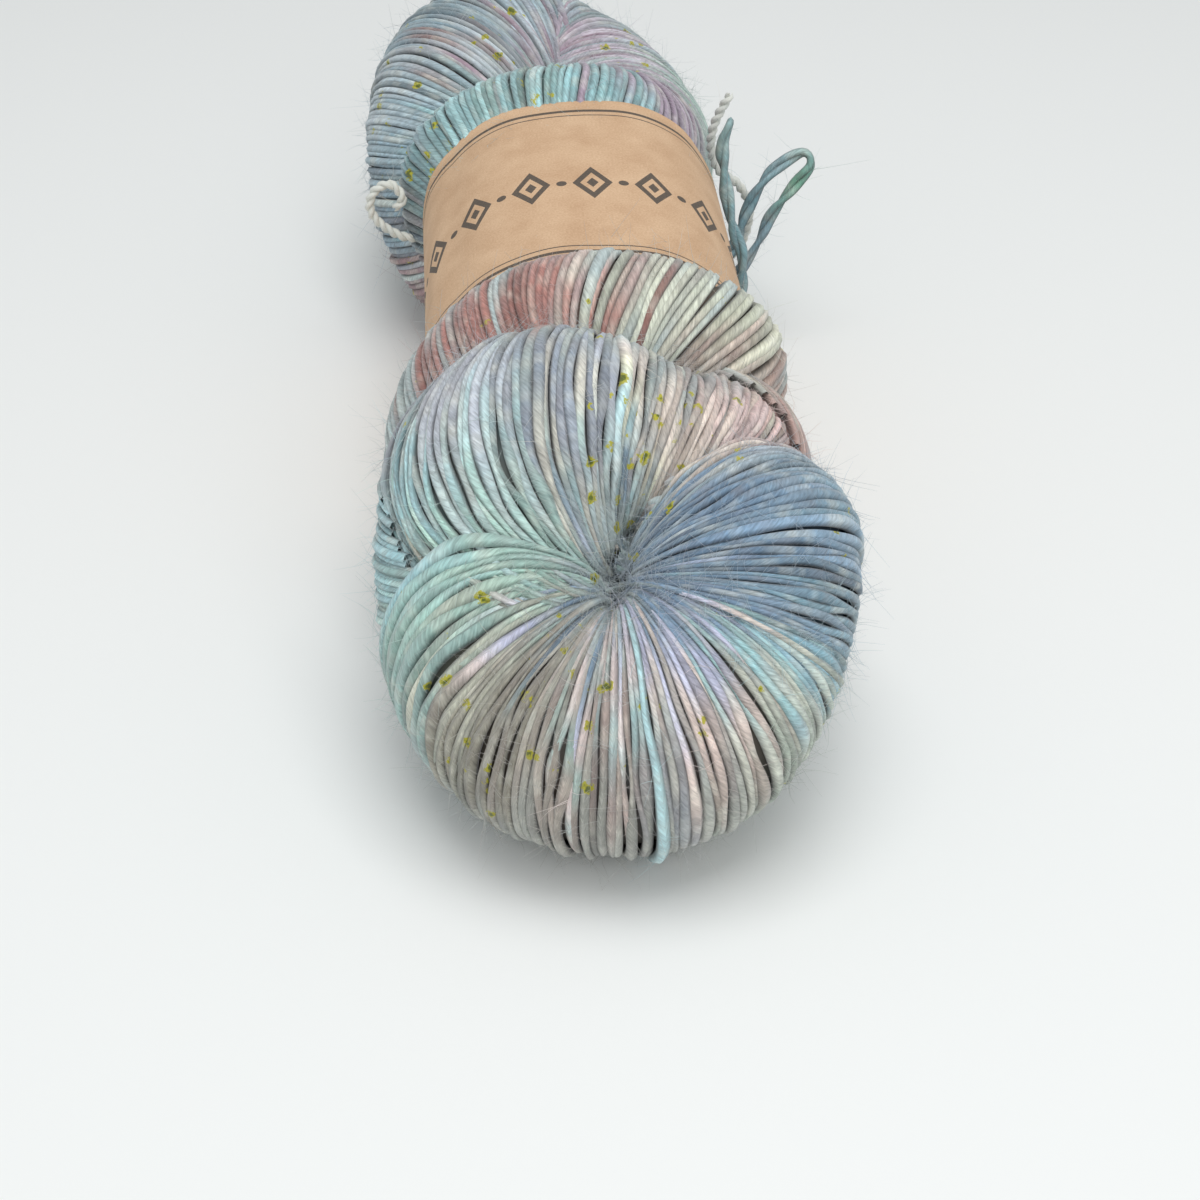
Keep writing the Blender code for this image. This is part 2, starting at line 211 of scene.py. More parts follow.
# The band's tone and its printed border, worked out a step at a time from along, around, inside and the
# paper's pulp and cloud: the step's name, what it does, and its two values or earlier steps. The border is
# a double rule near each edge, and a row of lozenges with dots between them.
BORDER_STEPS = (
    ("pulp_part", "MULTIPLY", "pulp", 0.6),
    ("cloud_part", "MULTIPLY", "cloud", 0.4),
    ("tone", "ADD", "pulp_part", "cloud_part"),
    ("from_far", "SUBTRACT", BAND_Y[1] - BAND_Y[0], "along"),
    ("from_edge", "MINIMUM", "along", "from_far"),
    ("to_outer", "SUBTRACT", "from_edge", 5.0),
    ("off_outer", "ABSOLUTE", "to_outer", 0.5),
    ("outer_rule", "LESS_THAN", "off_outer", 0.55),
    ("to_inner", "SUBTRACT", "from_edge", 7.2),
    ("off_inner", "ABSOLUTE", "to_inner", 0.5),
    ("inner_rule", "LESS_THAN", "off_inner", 0.2),
    ("to_row", "SUBTRACT", "along", LOZENGE_ROW),
    ("across", "ABSOLUTE", "to_row", 0.5),
    ("pitches", "DIVIDE", "around", LOZENGE_PITCH),
    ("in_pitch", "FRACT", "pitches", 0.5),
    ("past_half", "SUBTRACT", "in_pitch", 0.5),
    ("phase", "ABSOLUTE", "past_half", 0.5),
    ("sideways", "MULTIPLY", "phase", LOZENGE_PITCH),
    ("slant_up", "DIVIDE", "across", 7.0),
    ("slant_side", "DIVIDE", "sideways", 4.2),
    ("slant", "ADD", "slant_up", "slant_side"),
    ("within", "LESS_THAN", "slant", 1.0),
    ("outside", "GREATER_THAN", "slant", 0.62),
    ("lozenge", "MULTIPLY", "within", "outside"),
    ("centre", "LESS_THAN", "slant", 0.3),
    ("to_dot", "SUBTRACT", LOZENGE_PITCH / 2, "sideways"),
    ("dot_up", "MULTIPLY", "across", "across"),
    ("dot_side", "MULTIPLY", "to_dot", "to_dot"),
    ("dot_both", "ADD", "dot_up", "dot_side"),
    ("dot_reach", "SQRT", "dot_both", 0.5),
    ("dot", "LESS_THAN", "dot_reach", 1.1),
    ("diamonds", "MAXIMUM", "lozenge", "centre"),
    ("shapes", "MAXIMUM", "diamonds", "dot"),
    ("rules", "MAXIMUM", "outer_rule", "inner_rule"),
    ("inked", "MAXIMUM", "rules", "shapes"),
    ("wear", "MULTIPLY", "pulp", 0.6),
    ("worn", "ADD", "wear", 0.62),
    ("worn_most", "MINIMUM", "worn", 0.95),
    ("worn_ink", "MAXIMUM", "worn_most", 0.8),
    ("ink", "MULTIPLY", "inked", "worn_ink"),
    ("outer_side", "SUBTRACT", 1.0, "inside"),
    ("shown", "MULTIPLY", "ink", "outer_side"),
    ("paler", "MULTIPLY", "inside", 0.7),
)

# Pools where specks of dry dye are thick: x, y, z and reach in mm, then the cells that hold a speck.
SPECKLE_POOLS = (
    (5.0, -76.0, 68.0, 7.0, 0.95),
    (2.0, -85.0, 55.0, 7.0, 0.95),
    (15.0, -74.0, 64.0, 8.0, 0.8),
    (-9.0, -112.0, 42.0, 6.0, 0.8),
    (-9.0, -121.0, 29.0, 6.0, 0.7),
    (0.0, -120.0, 38.0, 5.0, 0.45),
    (-27.0, -104.0, 44.0, 10.0, 0.3),
    (-22.0, -116.0, 30.0, 9.0, 0.3),
    (-30.0, 58.0, 52.0, 12.0, 0.55),
    (-8.0, 60.0, 68.0, 8.0, 0.5),
    (-14.0, 104.0, 63.0, 14.0, 0.35),
    (16.0, 108.0, 54.0, 10.0, 0.35),
)
SPECKLE_GROUND = 0.035

# Fans of strands combed from the pinch of the near fold. A fan has how many strands, the stretch of rope
# they lie on, how far the first strand sinks and how many sink with it, how far the last sinks, and its
# guides. A guide has the pinch (x, y, z), a middle of the rope (x, y, z), the way out (x, y, z) and the
# far side (x, y, z).
FANS = (
    (72, 120.0, 190.0, 3.0, 4.0, 0.5, (
        (0.5, -95.0, 46.0, -16.0, -76.0, 50.0, -1.0, -0.2, -0.05, -14.0, -52.0, 66.0),
        (0.5, -95.0, 46.0, -15.0, -75.0, 50.0, -0.85, -0.45, 0.3, -8.0, -50.0, 64.0),
        (0.5, -95.0, 46.0, -8.0, -70.0, 52.0, -0.45, -0.6, 0.65, -4.0, -46.0, 60.0),
        (0.5, -95.0, 46.0, 0.0, -66.0, 52.0, 0.0, -0.6, 0.8, 4.0, -45.0, 58.0),
        (1.0, -94.0, 46.0, 9.0, -62.0, 50.0, 0.25, -0.6, 0.75, 16.0, -44.0, 54.0),
        (2.0, -92.0, 46.0, 17.0, -57.0, 44.0, 0.5, -0.5, 0.7, 28.0, -42.0, 46.0),
        (2.5, -91.0, 46.0, 20.0, -60.0, 40.0, 0.6, -0.65, 0.45, 36.0, -46.0, 36.0),
    )),
    (68, 176.0, 242.0, -0.8, 4.0, 0.3, (
        (0.5, -95.0, 46.0, -16.0, -88.0, 32.5, -0.78, -0.08, 0.98, -24.0, -90.0, 6.0),
        (0.5, -95.0, 46.0, -15.0, -95.0, 27.0, -0.75, -0.6, 0.25, -12.0, -92.0, 4.0),
        (0.5, -95.0, 46.0, -9.0, -102.0, 23.0, -0.4, -0.85, 0.3, -5.0, -96.0, 2.0),
        (1.0, -96.0, 46.0, 1.0, -106.0, 22.0, 0.0, -0.95, 0.3, 2.0, -97.0, 1.0),
        (2.0, -96.0, 46.0, 11.0, -104.0, 27.0, 0.4, -0.85, 0.25, 12.0, -94.0, 4.0),
        (3.0, -96.0, 46.0, 17.0, -101.0, 33.0, 0.75, -0.62, 0.02, 27.0, -89.0, 12.0),
    )),
    (44, 226.0, 280.0, -0.4, 2.0, 0.3, (
        (1.0, -93.0, 47.0, 22.0, -80.0, 42.0, -0.2, 0.0, 1.0, 44.0, -58.0, 46.0),
        (1.5, -93.5, 47.0, 23.0, -85.0, 43.0, 0.1, -0.25, 0.95, 44.0, -68.0, 40.0),
        (2.0, -94.0, 47.0, 22.0, -91.0, 43.0, 0.45, -0.55, 0.7, 40.0, -80.0, 32.0),
        (3.0, -95.0, 47.0, 20.0, -97.0, 39.0, 0.6, -0.7, 0.4, 38.0, -88.0, 24.0),
        (3.0, -96.0, 46.0, 17.0, -101.0, 33.5, 0.76, -0.62, 0.05, 30.0, -91.0, 14.0),
    )),
)
# Strands that lie loose on top of a fan: the fan and the strand in it, then its dye.
FAN_PROUD = {(1, 43): "#a9c9cd"}
FAN_PULL = 3.0              # how strongly a strand is drawn to its guide's way out
FAN_STEPS = 64
FAN_START = 60.0            # the search for the rope's surface comes in from this far out, mm
FAN_SEARCHES = 26
FAN_LAST_REACH = 1.8        # how many strands sink with the last of a fan
FAN_EDGE_ENDS = 0.62        # an edge strand is back on the surface from this share of its way
PINCH_DEPTH = 2.5           # strands dive this deep into the pinch, mm
PINCH_SHARE = 0.06          # over this share of their way
PROUD_LIFT = 0.9
FAN_FILL = 0.6             # a combed strand's thickness as a share of the space between two
FAN_SINK = 0.9              # the rope's own strands and inner yarn lie this much lower under a fan
FANNED = (132.0, 276.0)
UNDER_FAN = 2.2             # the rope's own strands are left out within this of a combed one, mm

STRAND_FULL = 1.1           # the outer strands swell to at least this much of their thickness
STRAND_FILL = 0.62          # and where the rope bends, this share of the space to the next
STRAND_MOST = 1.6           # but never thicker than this
STRAND_PIECES = 4
ODD_SHARE = 0.13            # strands whose dye comes from further away
TIE_LAY = 26.0              # length of one turn of the yarn tie's two strands, mm
CORE_SIDES = 48
HALO_PIECES = 2
HALO_PALE = 0.22            # how much lighter than its strand a loose fibre looks
# the inner yarn's dye is darkened by this much, as painted shade in the gaps between the outer strands
CORE_PAINTED_SHADE = np.array((0.56, 0.52, 0.52))
FIBRE_PIECES = 3
YARN_VALUES = ("dye", "along", "around", "crown", "strand", "speckled")

# The ties' free ends: name, route in mm, the dye from root to tip, and what the far end is.
TIES = (
    ("yarn_tie_bow", (
        (31.5, 61.0, 20.0), (37.0, 63.5, 20.5), (41.4, 65.0, 25.0), (43.0, 65.0, 32.0), (47.0, 65.0, 41.0),
        (52.4, 65.0, 46.3), (56.4, 65.0, 47.8), (57.6, 64.0, 45.0), (53.6, 63.0, 40.0), (49.0, 63.0, 33.0),
        (45.6, 63.0, 25.0), (40.0, 62.0, 16.5), (32.5, 61.0, 14.0),
    ), ("#7f9fac", "#8fb0bb", "#7fa3ae", "#93b3bb", "#6fa48f", "#8aa9b5", "#7c99a8", "#86a5b0"), "object"),
    ("yarn_tie_end", (
        (32.0, 60.0, 8.0), (38.5, 59.0, 10.0), (42.0, 58.5, 16.0), (42.0, 58.5, 25.0), (39.5, 58.5, 33.2),
        (37.5, 59.0, 43.6), (36.5, 59.0, 52.4), (38.0, 59.0, 60.1),
    ), ("#7f9fac", "#7ba0aa", "#86adb6", "#8fb4ba", "#9cbfc3"), "bare"),
    ("cotton_tie_end", (
        (30.5, 67.0, 13.0), (37.0, 70.0, 15.0), (43.5, 71.0, 22.0), (45.0, 71.0, 31.0), (42.0, 71.0, 37.4),
        (37.5, 71.0, 41.0), (35.5, 71.0, 46.0), (35.5, 71.0, 51.0), (37.0, 71.0, 55.6), (39.6, 71.0, 60.5),
    ), ("#d9d9d2", "#e4e1d6"), "bare"),
    ("cotton_tie_loop", (
        (-32.0, 61.5, 31.0), (-37.6, 60.5, 32.6), (-42.4, 60.5, 36.4), (-44.0, 60.5, 40.4), (-42.4, 60.5, 44.4),
        (-38.8, 60.5, 45.6), (-36.4, 60.5, 42.0), (-38.6, 60.5, 39.2),
    ), ("#d9d6c4", "#e2dfd0"), "object"),
)

CAMERA_TARGET = (-2.1, -95.0, 45.0)
CAMERA_DISTANCE = 380.0
CAMERA_PITCH = 38.0
CAMERA_YAW = 4.0
CAMERA_LENS = 66.0


def srgb(code):
    """Linear red, green and blue of an sRGB hex colour."""
    parts = [int(code[at:at + 2], 16) / 255 for at in (1, 3, 5)]
    return tuple(c / 12.92 if c <= 0.04045 else ((c + 0.055) / 1.055) ** 2.4 for c in parts)


def smooth_closed(rows, step):
    """Evenly spaced rows on a closed Catmull-Rom curve through the given rows, all columns alike."""
    rows = np.array(rows, float)
    before, after, beyond = np.roll(rows, 1, 0), np.roll(rows, -1, 0), np.roll(rows, -2, 0)
    t = np.linspace(0.0, 1.0, 24, endpoint=False)[None, :, None]
    slope = (after - before)[:, None] * t
    bend = (2 * before - 5 * rows + 4 * after - beyond)[:, None] * t ** 2
    turn = (3 * rows - before - 3 * after + beyond)[:, None] * t ** 3
    fine = ((2 * rows[:, None] + slope + bend + turn) / 2).reshape(-1, rows.shape[1])
    return evenly(np.vstack([fine, fine[:1]]), step)


def unit(ways):
    """The same directions, each of length one."""
    return ways / np.maximum(np.linalg.norm(ways, axis=1), 1e-9)[:, None]


def lengths_along(line):
    """How far along a line each of its points is."""
    return np.concatenate([[0.0], np.cumsum(np.linalg.norm(np.diff(line, axis=0), axis=1))])


def evenly(rows, step):
    """The same line with its points a step apart, measured over its first three columns."""
    along = lengths_along(rows[:, :3])
    count = max(2, int(round(along[-1] / step)) + 1)
    at = np.linspace(0.0, along[-1], count)
    return np.stack([np.interp(at, along, column) for column in rows.T], 1)


def turning_frames(line):
    """Directions along, out and across at each point of a line, turning as little as they can."""
    along = unit(np.gradient(line, axis=0))
    out = np.zeros_like(line)
    first = np.cross(along[0], (1.0, 0.0, 0.0) if abs(along[0][0]) < 0.8 else (0.0, 1.0, 0.0))
    out[0] = first / np.linalg.norm(first)
    for at in range(1, len(line)):
        bent = out[at - 1] - along[at] * (out[at - 1] @ along[at])
        out[at] = bent / np.linalg.norm(bent)
    return along, out, np.cross(along, out)


def drift(rng, count, spacing, amount):
    """A slow random wander with a knot every so many points."""
    knots = max(4, int(count / spacing) + 3)
    values = rng.normal(0.0, amount, knots)
    at = np.linspace(0.0, knots - 1.001, count)
    low = at.astype(int)
    part = at - low
    part = part * part * (3.0 - 2.0 * part)
    return values[low] * (1.0 - part) + values[np.minimum(low + 1, knots - 1)] * part


class Placing:
    """Where the band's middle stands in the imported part; the tables above are measured from it."""

    def __init__(self):
        low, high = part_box("paper_band")
        self.x = high.x / MM - BAND_HALF_WIDTH - BAND_X
        self.y = (low.y + high.y) / 2 / MM - sum(BAND_Y) / 2

    def metres(self, points):
        return (np.asarray(points, float) + (self.x, self.y, 0.0)) * MM


def band_radius(x, up):
    """How far the band's outside is from its axis in each direction, mm."""
    power = 2.0 / BAND_SQUARENESS
    reach = np.maximum(np.hypot(x, up), 1e-6)
    wide = np.abs(x / reach / BAND_HALF_WIDTH) ** power
    high = np.abs(up / reach / (BAND_HEIGHT / 2)) ** power
    return (wide + high) ** (-1.0 / power)


def settle(points, thickness):
    """Points pressed in under the band, and flat on the table."""
    points = points.copy()
    x, up = points[:, 0] - BAND_X, points[:, 2] - BAND_HEIGHT / 2
    reach = np.maximum(np.hypot(x, up), 1e-6)
    middle, half = sum(BAND_Y) / 2, (BAND_Y[1] - BAND_Y[0]) / 2
    past = np.maximum(np.abs(points[:, 1] - middle) - half, 0.0)
    over = reach - (band_radius(x, up) - PAPER_ROOM - thickness + past * BAND_FLARE)
    eased = np.where(over > BAND_EASE, over, np.maximum(over + BAND_EASE, 0.0) ** 2 / (4 * BAND_EASE))
    points[:, 0] = BAND_X + x * (1.0 - eased / reach)
    points[:, 2] = BAND_HEIGHT / 2 + up * (1.0 - eased / reach)
    low = points[:, 2] - thickness
    raised = np.where(low > TABLE_FLAT, low, np.maximum(low + TABLE_FLAT, 0.0) ** 2 / (4 * TABLE_FLAT))
    points[:, 2] = raised + thickness
    return points


def dye_at(points, wander, shade):
    """Linear colours where the pools of dye mix at points shifted by wander, lightened by shade."""
    pools = np.array([row[:4] for row in DYE_POOLS])
    colours = np.array([srgb(row[4]) for row in DYE_POOLS])
    ground = np.array(srgb(DYE_GROUND))
    total = np.full((len(points), 1), DYE_GROUND_SHARE)
    mixed = total * ground
    taken = points + wander
    for (x, y, z, reach), colour in zip(pools, colours):
        away = ((taken - (x, y, z)) ** 2).sum(1) / reach ** 2
        weight = np.exp(-away)[:, None] ** 1.3
        mixed = mixed + weight * colour
        total = total + weight
    mixed = mixed / total
    grey = mixed.mean(1, keepdims=True)
    mixed = grey + (mixed - grey) * DYE_DEPTH
    return np.clip(mixed * DYE_LIFT * (1.0 + shade)[:, None], 0.0, 0.92)


class Rope:
    """The hank's closed rope: its centre line, frames, radius and the strands' turn along it."""

    def __init__(self):
        rows = smooth_closed(ROPE, ROPE_STEP)
        self.line, self.radius, self.twist = rows[:, :3], rows[:, 3], rows[:, 4]
        self.along, self.out, self.across = turning_frames(self.line)
        self.length = lengths_along(self.line)
        self.turn = np.concatenate([[0.0], np.cumsum(self.twist[1:] * np.diff(self.length))])

    def surface(self, angle, lift):
        """Points over the whole rope at these angles round it, this far above its radius."""
        arm = (self.radius + lift)[:, None]
        spoke = np.cos(angle)[:, None] * self.out + np.sin(angle)[:, None] * self.across
        return self.line + arm * spoke

    def level(self, points, low, high):
        """How far points are outside the rope between two places on it, and the way out there."""
        part = (self.length >= low) & (self.length <= high)
        line, radius = self.line[part][::3], self.radius[part][::3]
        away = points[:, None] - line[None]
        far = np.linalg.norm(away, axis=2)
        nearest = np.argmin(far - radius[None], axis=1)
        rows = np.arange(len(points))
        distance = far[rows, nearest]
        return distance - radius[nearest], away[rows, nearest] / np.maximum(distance, 1e-6)[:, None]

    def buried(self, points, home):
        """True where a point lies deep inside another turn of the rope."""
        coarse = slice(None, None, 2)
        line, radius, length = self.line[coarse], self.radius[coarse], self.length[coarse]
        whole = self.length[-1]
        deep = np.zeros(len(points), bool)
        for start in range(0, len(points), 4000):
            block = slice(start, start + 4000)
            apart = np.abs(home[block, None] - length[None])
            apart = np.minimum(apart, whole - apart)
            away = np.linalg.norm(points[block, None] - line[None], axis=2)
            inside = (away < radius[None] - BURIED) & (apart > NEIGHBOUR)
            deep[block] = inside.any(1)
        return deep


def tubes(name, strands, sides, attributes):
    """One mesh of round strands. A strand has its line, thick (radii) and named values at each point."""
    corners, quads, values = [], [], {key: [] for key in attributes}
    angles = np.arange(sides) * math.tau / sides
    base = 0
    for strand in strands:
        line, thick = strand["line"], strand["thick"]
        _, out, across = turning_frames(line)
        ring = np.cos(angles)[:, None] * out[:, None] + np.sin(angles)[:, None] * across[:, None]
        corners.append((line[:, None] + ring * thick[:, None, None]).reshape(-1, 3))
        grid = base + np.arange(len(line) * sides).reshape(len(line), sides)
        here, there = grid[:-1], grid[1:]
        faces = np.stack([here, np.roll(here, -1, 1), np.roll(there, -1, 1), there], -1)
        quads.append(faces.reshape(-1, 4))
        for key in attributes:
            values[key].append(np.repeat(strand["along" if key == "crown" else key], sides, axis=0))
        # crown: how far each side of a strand faces out of the rope, which the yarn shader uses to paint shade in
        # the grooves and light on the crown
        if "crown" in attributes:
            facing = (ring * strand["outward"][:, None]).sum(2)
            values["crown"][-1] = facing.reshape(-1, 1)
        if "around" in attributes:
            values["around"][-1] = np.tile(angles / math.tau, len(line))[:, None]
        base += len(line) * sides
    return mesh_object(name, np.concatenate(corners), np.concatenate(quads), {
        key: np.concatenate(listed) for key, listed in values.items()
    })


def mesh_object(name, corners, quads, attributes):
    """A smooth mesh from corners already in metres, with its point attributes."""
    mesh = bpy.data.meshes.new(name)
    mesh.vertices.add(len(corners))
    mesh.vertices.foreach_set("co", corners.astype(np.float32).ravel())
    mesh.loops.add(quads.size)
    mesh.loops.foreach_set("vertex_index", quads.astype(np.int32).ravel())
    mesh.polygons.add(len(quads))
    mesh.polygons.foreach_set("loop_start", np.arange(0, quads.size, quads.shape[1], dtype=np.int32))
    mesh.update(calc_edges=True)
    mesh.shade_smooth()
    for key, listed in attributes.items():
        if listed.shape[1] == 3:
            colour = mesh.color_attributes.new(key, "FLOAT_COLOR", "POINT")
            opaque = np.concatenate([listed, np.ones((len(listed), 1))], 1)
            colour.data.foreach_set("color", opaque.astype(np.float32).ravel())
        else:
            field = mesh.attributes.new(key, "FLOAT", "POINT")
            field.data.foreach_set("value", listed.astype(np.float32).ravel())
    thing = bpy.data.objects.new(name, mesh)
    bpy.context.scene.collection.objects.link(thing)
    return thing


def add_node(tree, kind, settings=None, links=None):
    """Adds a node, sets its properties and inputs, and links its inputs from other nodes' outputs."""
    made = tree.nodes.new(kind)
    for key, value in (settings or {}).items():
        if isinstance(key, int) or key in made.inputs:
            made.inputs[key].default_value = value
        else:
            setattr(made, key, value)
    for key, source in (links or {}).items():
        tree.links.new(source, made.inputs[key])
    return made


def new_material(name):
    made = bpy.data.materials.new(name)
    made.use_nodes = True
    return made, made.node_tree, made.node_tree.nodes["Principled BSDF"]


def hand_dyed_merino():
    """Single-ply superwash merino, spun softly and dyed by hand in pools with specks of dry dye.
    The eye sees matt, slightly translucent strands with a pale bloom of fine hairs, streaked along the
    fibre, and olive and green specks a millimetre or two across."""
    made, tree, shader = new_material("hand_dyed_merino_single")
    place = add_node(tree, "ShaderNodeTexCoord").outputs["Object"]
    dye = add_node(tree, "ShaderNodeAttribute", {"attribute_name": "dye"}).outputs["Color"]
    along = add_node(tree, "ShaderNodeAttribute", {"attribute_name": "along"}).outputs["Fac"]
    around = add_node(tree, "ShaderNodeAttribute", {"attribute_name": "around"}).outputs["Fac"]
    strand = add_node(tree, "ShaderNodeAttribute", {"attribute_name": "strand"}).outputs["Fac"]
    speckled = add_node(tree, "ShaderNodeAttribute", {"attribute_name": "speckled"}).outputs["Fac"]

    # Fibres wind round the strand about once in 8 mm; drawn 0.4 mm wide so that they show.
    lag = add_node(tree, "ShaderNodeMath", {"operation": "MULTIPLY", 1: 0.125}, {0: along})
    wound = add_node(tree, "ShaderNodeMath", {"operation": "ADD"}, {0: around, 1: lag.outputs[0]})
    wide = add_node(tree, "ShaderNodeMath", {"operation": "MULTIPLY", 1: 13.0}, {0: wound.outputs[0]})
    long = add_node(tree, "ShaderNodeMath", {"operation": "MULTIPLY", 1: 0.45}, {0: along})
    which = add_node(tree, "ShaderNodeMath", {"operation": "MULTIPLY", 1: 7.3}, {0: strand})
    fibre_at = add_node(tree, "ShaderNodeCombineXYZ", None,
                        {0: wide.outputs[0], 1: long.outputs[0], 2: which.outputs[0]})
    fibres = add_node(tree, "ShaderNodeTexNoise", {"Scale": 1.0, "Detail": 2.0, "Roughness": 0.6},
                      {"Vector": fibre_at.outputs[0]})
    streak = add_node(tree, "ShaderNodeMapRange", {1: 0.3, 2: 0.7, 3: 0.72, 4: 1.24},
                      {0: fibres.outputs["Fac"]})
    uneven = add_node(tree, "ShaderNodeTexNoise", {"Scale": 420.0, "Detail": 3.0}, {"Vector": place})
    patch = add_node(tree, "ShaderNodeMapRange", {1: 0.3, 2: 0.7, 3: 0.92, 4: 1.07},
                     {0: uneven.outputs["Fac"]})
    # Painted shade and light: the crown attribute darkens each strand's colour where it faces into the grooves
    # beside it and lightens it on its crown.
    crown = add_node(tree, "ShaderNodeAttribute", {"attribute_name": "crown"}).outputs["Fac"]
    groove = add_node(tree, "ShaderNodeMapRange", {1: -0.1, 2: 0.95, 3: GROOVE_PAINTED_SHADE, 4: CROWN_PAINTED_LIGHT},
                      {0: crown})
    worn = add_node(tree, "ShaderNodeMath", {"operation": "MULTIPLY"},
                    {0: streak.outputs[0], 1: patch.outputs[0]})
    shade = add_node(tree, "ShaderNodeMath", {"operation": "MULTIPLY"},
                     {0: worn.outputs[0], 1: groove.outputs[0]})
    # The dye takes unevenly: paler and browner stretches a few millimetres long on each strand.
    stretch_at = add_node(tree, "ShaderNodeCombineXYZ", None, {0: along, 1: which.outputs[0]})
    stretch = add_node(tree, "ShaderNodeTexNoise", {"Scale": 0.16, "Detail": 2.0},
                       {"Vector": stretch_at.outputs[0]})
    pale = add_node(tree, "ShaderNodeMapRange", {1: 0.5, 2: 0.75, 4: 0.5}, {0: stretch.outputs["Fac"]})
    brown = add_node(tree, "ShaderNodeMapRange", {1: 0.5, 2: 0.25, 4: 0.35}, {0: stretch.outputs["Fac"]})
    paled = add_node(tree, "ShaderNodeMix", {"data_type": "RGBA", "B": (*srgb("#dcdcd0"), 1.0)},
                     {0: pale.outputs[0], "A": dye})
    browned = add_node(tree, "ShaderNodeMix", {"data_type": "RGBA", "B": (*srgb("#8f8787"), 1.0)},
                       {0: brown.outputs[0], "A": paled.outputs["Result"]})
    dye_with_painted_shade_and_light = add_node(tree, "ShaderNodeVectorMath", {"operation": "SCALE"},
                     {0: browned.outputs["Result"], "Scale": shade.outputs[0]})

    # Specks of dry dye: one in some of the cells of a 3.2 mm lattice, ragged, green inside olive.
    ragged = add_node(tree, "ShaderNodeTexNoise", {"Scale": 900.0, "Detail": 2.0}, {"Vector": place})
    ragged_by = add_node(tree, "ShaderNodeMapRange", {1: 0.3, 2: 0.7, 3: -0.17, 4: 0.17},
                         {0: ragged.outputs["Fac"]})
    cells = add_node(tree, "ShaderNodeTexVoronoi", {"Scale": 310.0, "Randomness": 1.0}, {"Vector": place})
    apart = add_node(tree, "ShaderNodeMath", {"operation": "ADD"},
                     {0: cells.outputs["Distance"], 1: ragged_by.outputs[0]})
    lot = add_node(tree, "ShaderNodeSeparateColor", None, {0: cells.outputs["Color"]})
    drawn = add_node(tree, "ShaderNodeMath", {"operation": "LESS_THAN"},
                     {0: lot.outputs["Red"], 1: speckled})
    size = add_node(tree, "ShaderNodeMapRange", {1: 0.0, 2: 1.0, 3: 0.1, 4: 0.46},
                    {0: lot.outputs["Green"]})
    gap = add_node(tree, "ShaderNodeMath", {"operation": "SUBTRACT"},
                   {0: size.outputs[0], 1: apart.outputs[0]})
    speck = add_node(tree, "ShaderNodeMapRange", {1: 0.0, 2: 0.06}, {0: gap.outputs[0]})
    heart = add_node(tree, "ShaderNodeMapRange", {1: 0.15, 2: 0.26}, {0: gap.outputs[0]})
    olive_share = add_node(tree, "ShaderNodeMath", {"operation": "MULTIPLY"},
                           {0: speck.outputs[0], 1: drawn.outputs[0]})
    olive_part = add_node(tree, "ShaderNodeMath", {"operation": "MULTIPLY", 1: 0.9},
                          {0: olive_share.outputs[0]})
    green_share = add_node(tree, "ShaderNodeMath", {"operation": "MULTIPLY"},
                           {0: heart.outputs[0], 1: drawn.outputs[0]})
    green_part = add_node(tree, "ShaderNodeMath", {"operation": "MULTIPLY", 1: 0.8},
                          {0: green_share.outputs[0]})
    olive = add_node(tree, "ShaderNodeMix",
                     {"data_type": "RGBA", "B": (*srgb("#b4ae14"), 1.0)},
                     {0: olive_part.outputs[0], "A": dye_with_painted_shade_and_light.outputs[0]})
    green = add_node(tree, "ShaderNodeMix",
                     {"data_type": "RGBA", "B": (*srgb("#3c5427"), 1.0)},
                     {0: green_part.outputs[0], "A": olive.outputs["Result"]})
    tree.links.new(green.outputs["Result"], shader.inputs["Base Color"])

    bumps = add_node(tree, "ShaderNodeBump", {"Strength": 0.9, "Distance": 0.0003},
                     {"Height": fibres.outputs["Fac"]})
    tree.links.new(bumps.outputs[0], shader.inputs["Normal"])
    shader.inputs["Roughness"].default_value = 0.85
    shader.inputs["IOR"].default_value = 1.5
    shader.inputs["Specular IOR Level"].default_value = 0.25
    shader.inputs["Sheen Weight"].default_value = 0.35
    shader.inputs["Sheen Roughness"].default_value = 0.5
    shader.inputs["Subsurface Weight"].default_value = 0.12
    shader.inputs["Subsurface Radius"].default_value = (1.0, 0.9, 0.8)
    shader.inputs["Subsurface Scale"].default_value = 0.0009
    return made


def merino_halo():
    """The loose fibre ends of the same yarn. The eye sees a thin pale haze over the strands and along the
    outline, lighter than the dye under it as single fibres let light through."""
    made, tree, shader = new_material("merino_halo_fibres")
    dye = add_node(tree, "ShaderNodeAttribute", {"attribute_name": "dye"}).outputs["Color"]
    tree.links.new(dye, shader.inputs["Base Color"])
    shader.inputs["Roughness"].default_value = 0.7
    shader.inputs["Specular IOR Level"].default_value = 0.3
    shader.inputs["Sheen Weight"].default_value = 0.3
    return made


def merino_inside():
    """The same yarn under the outer strands, in their shade. The eye sees it only as the dark, warm tone of
    the gaps between strands."""
    made, tree, shader = new_material("merino_inner_strands")
    dye = add_node(tree, "ShaderNodeAttribute", {"attribute_name": "dye"}).outputs["Color"]
    tree.links.new(dye, shader.inputs["Base Color"])
    shader.inputs["Roughness"].default_value = 0.95
    shader.inputs["Specular IOR Level"].default_value = 0.1
    return made


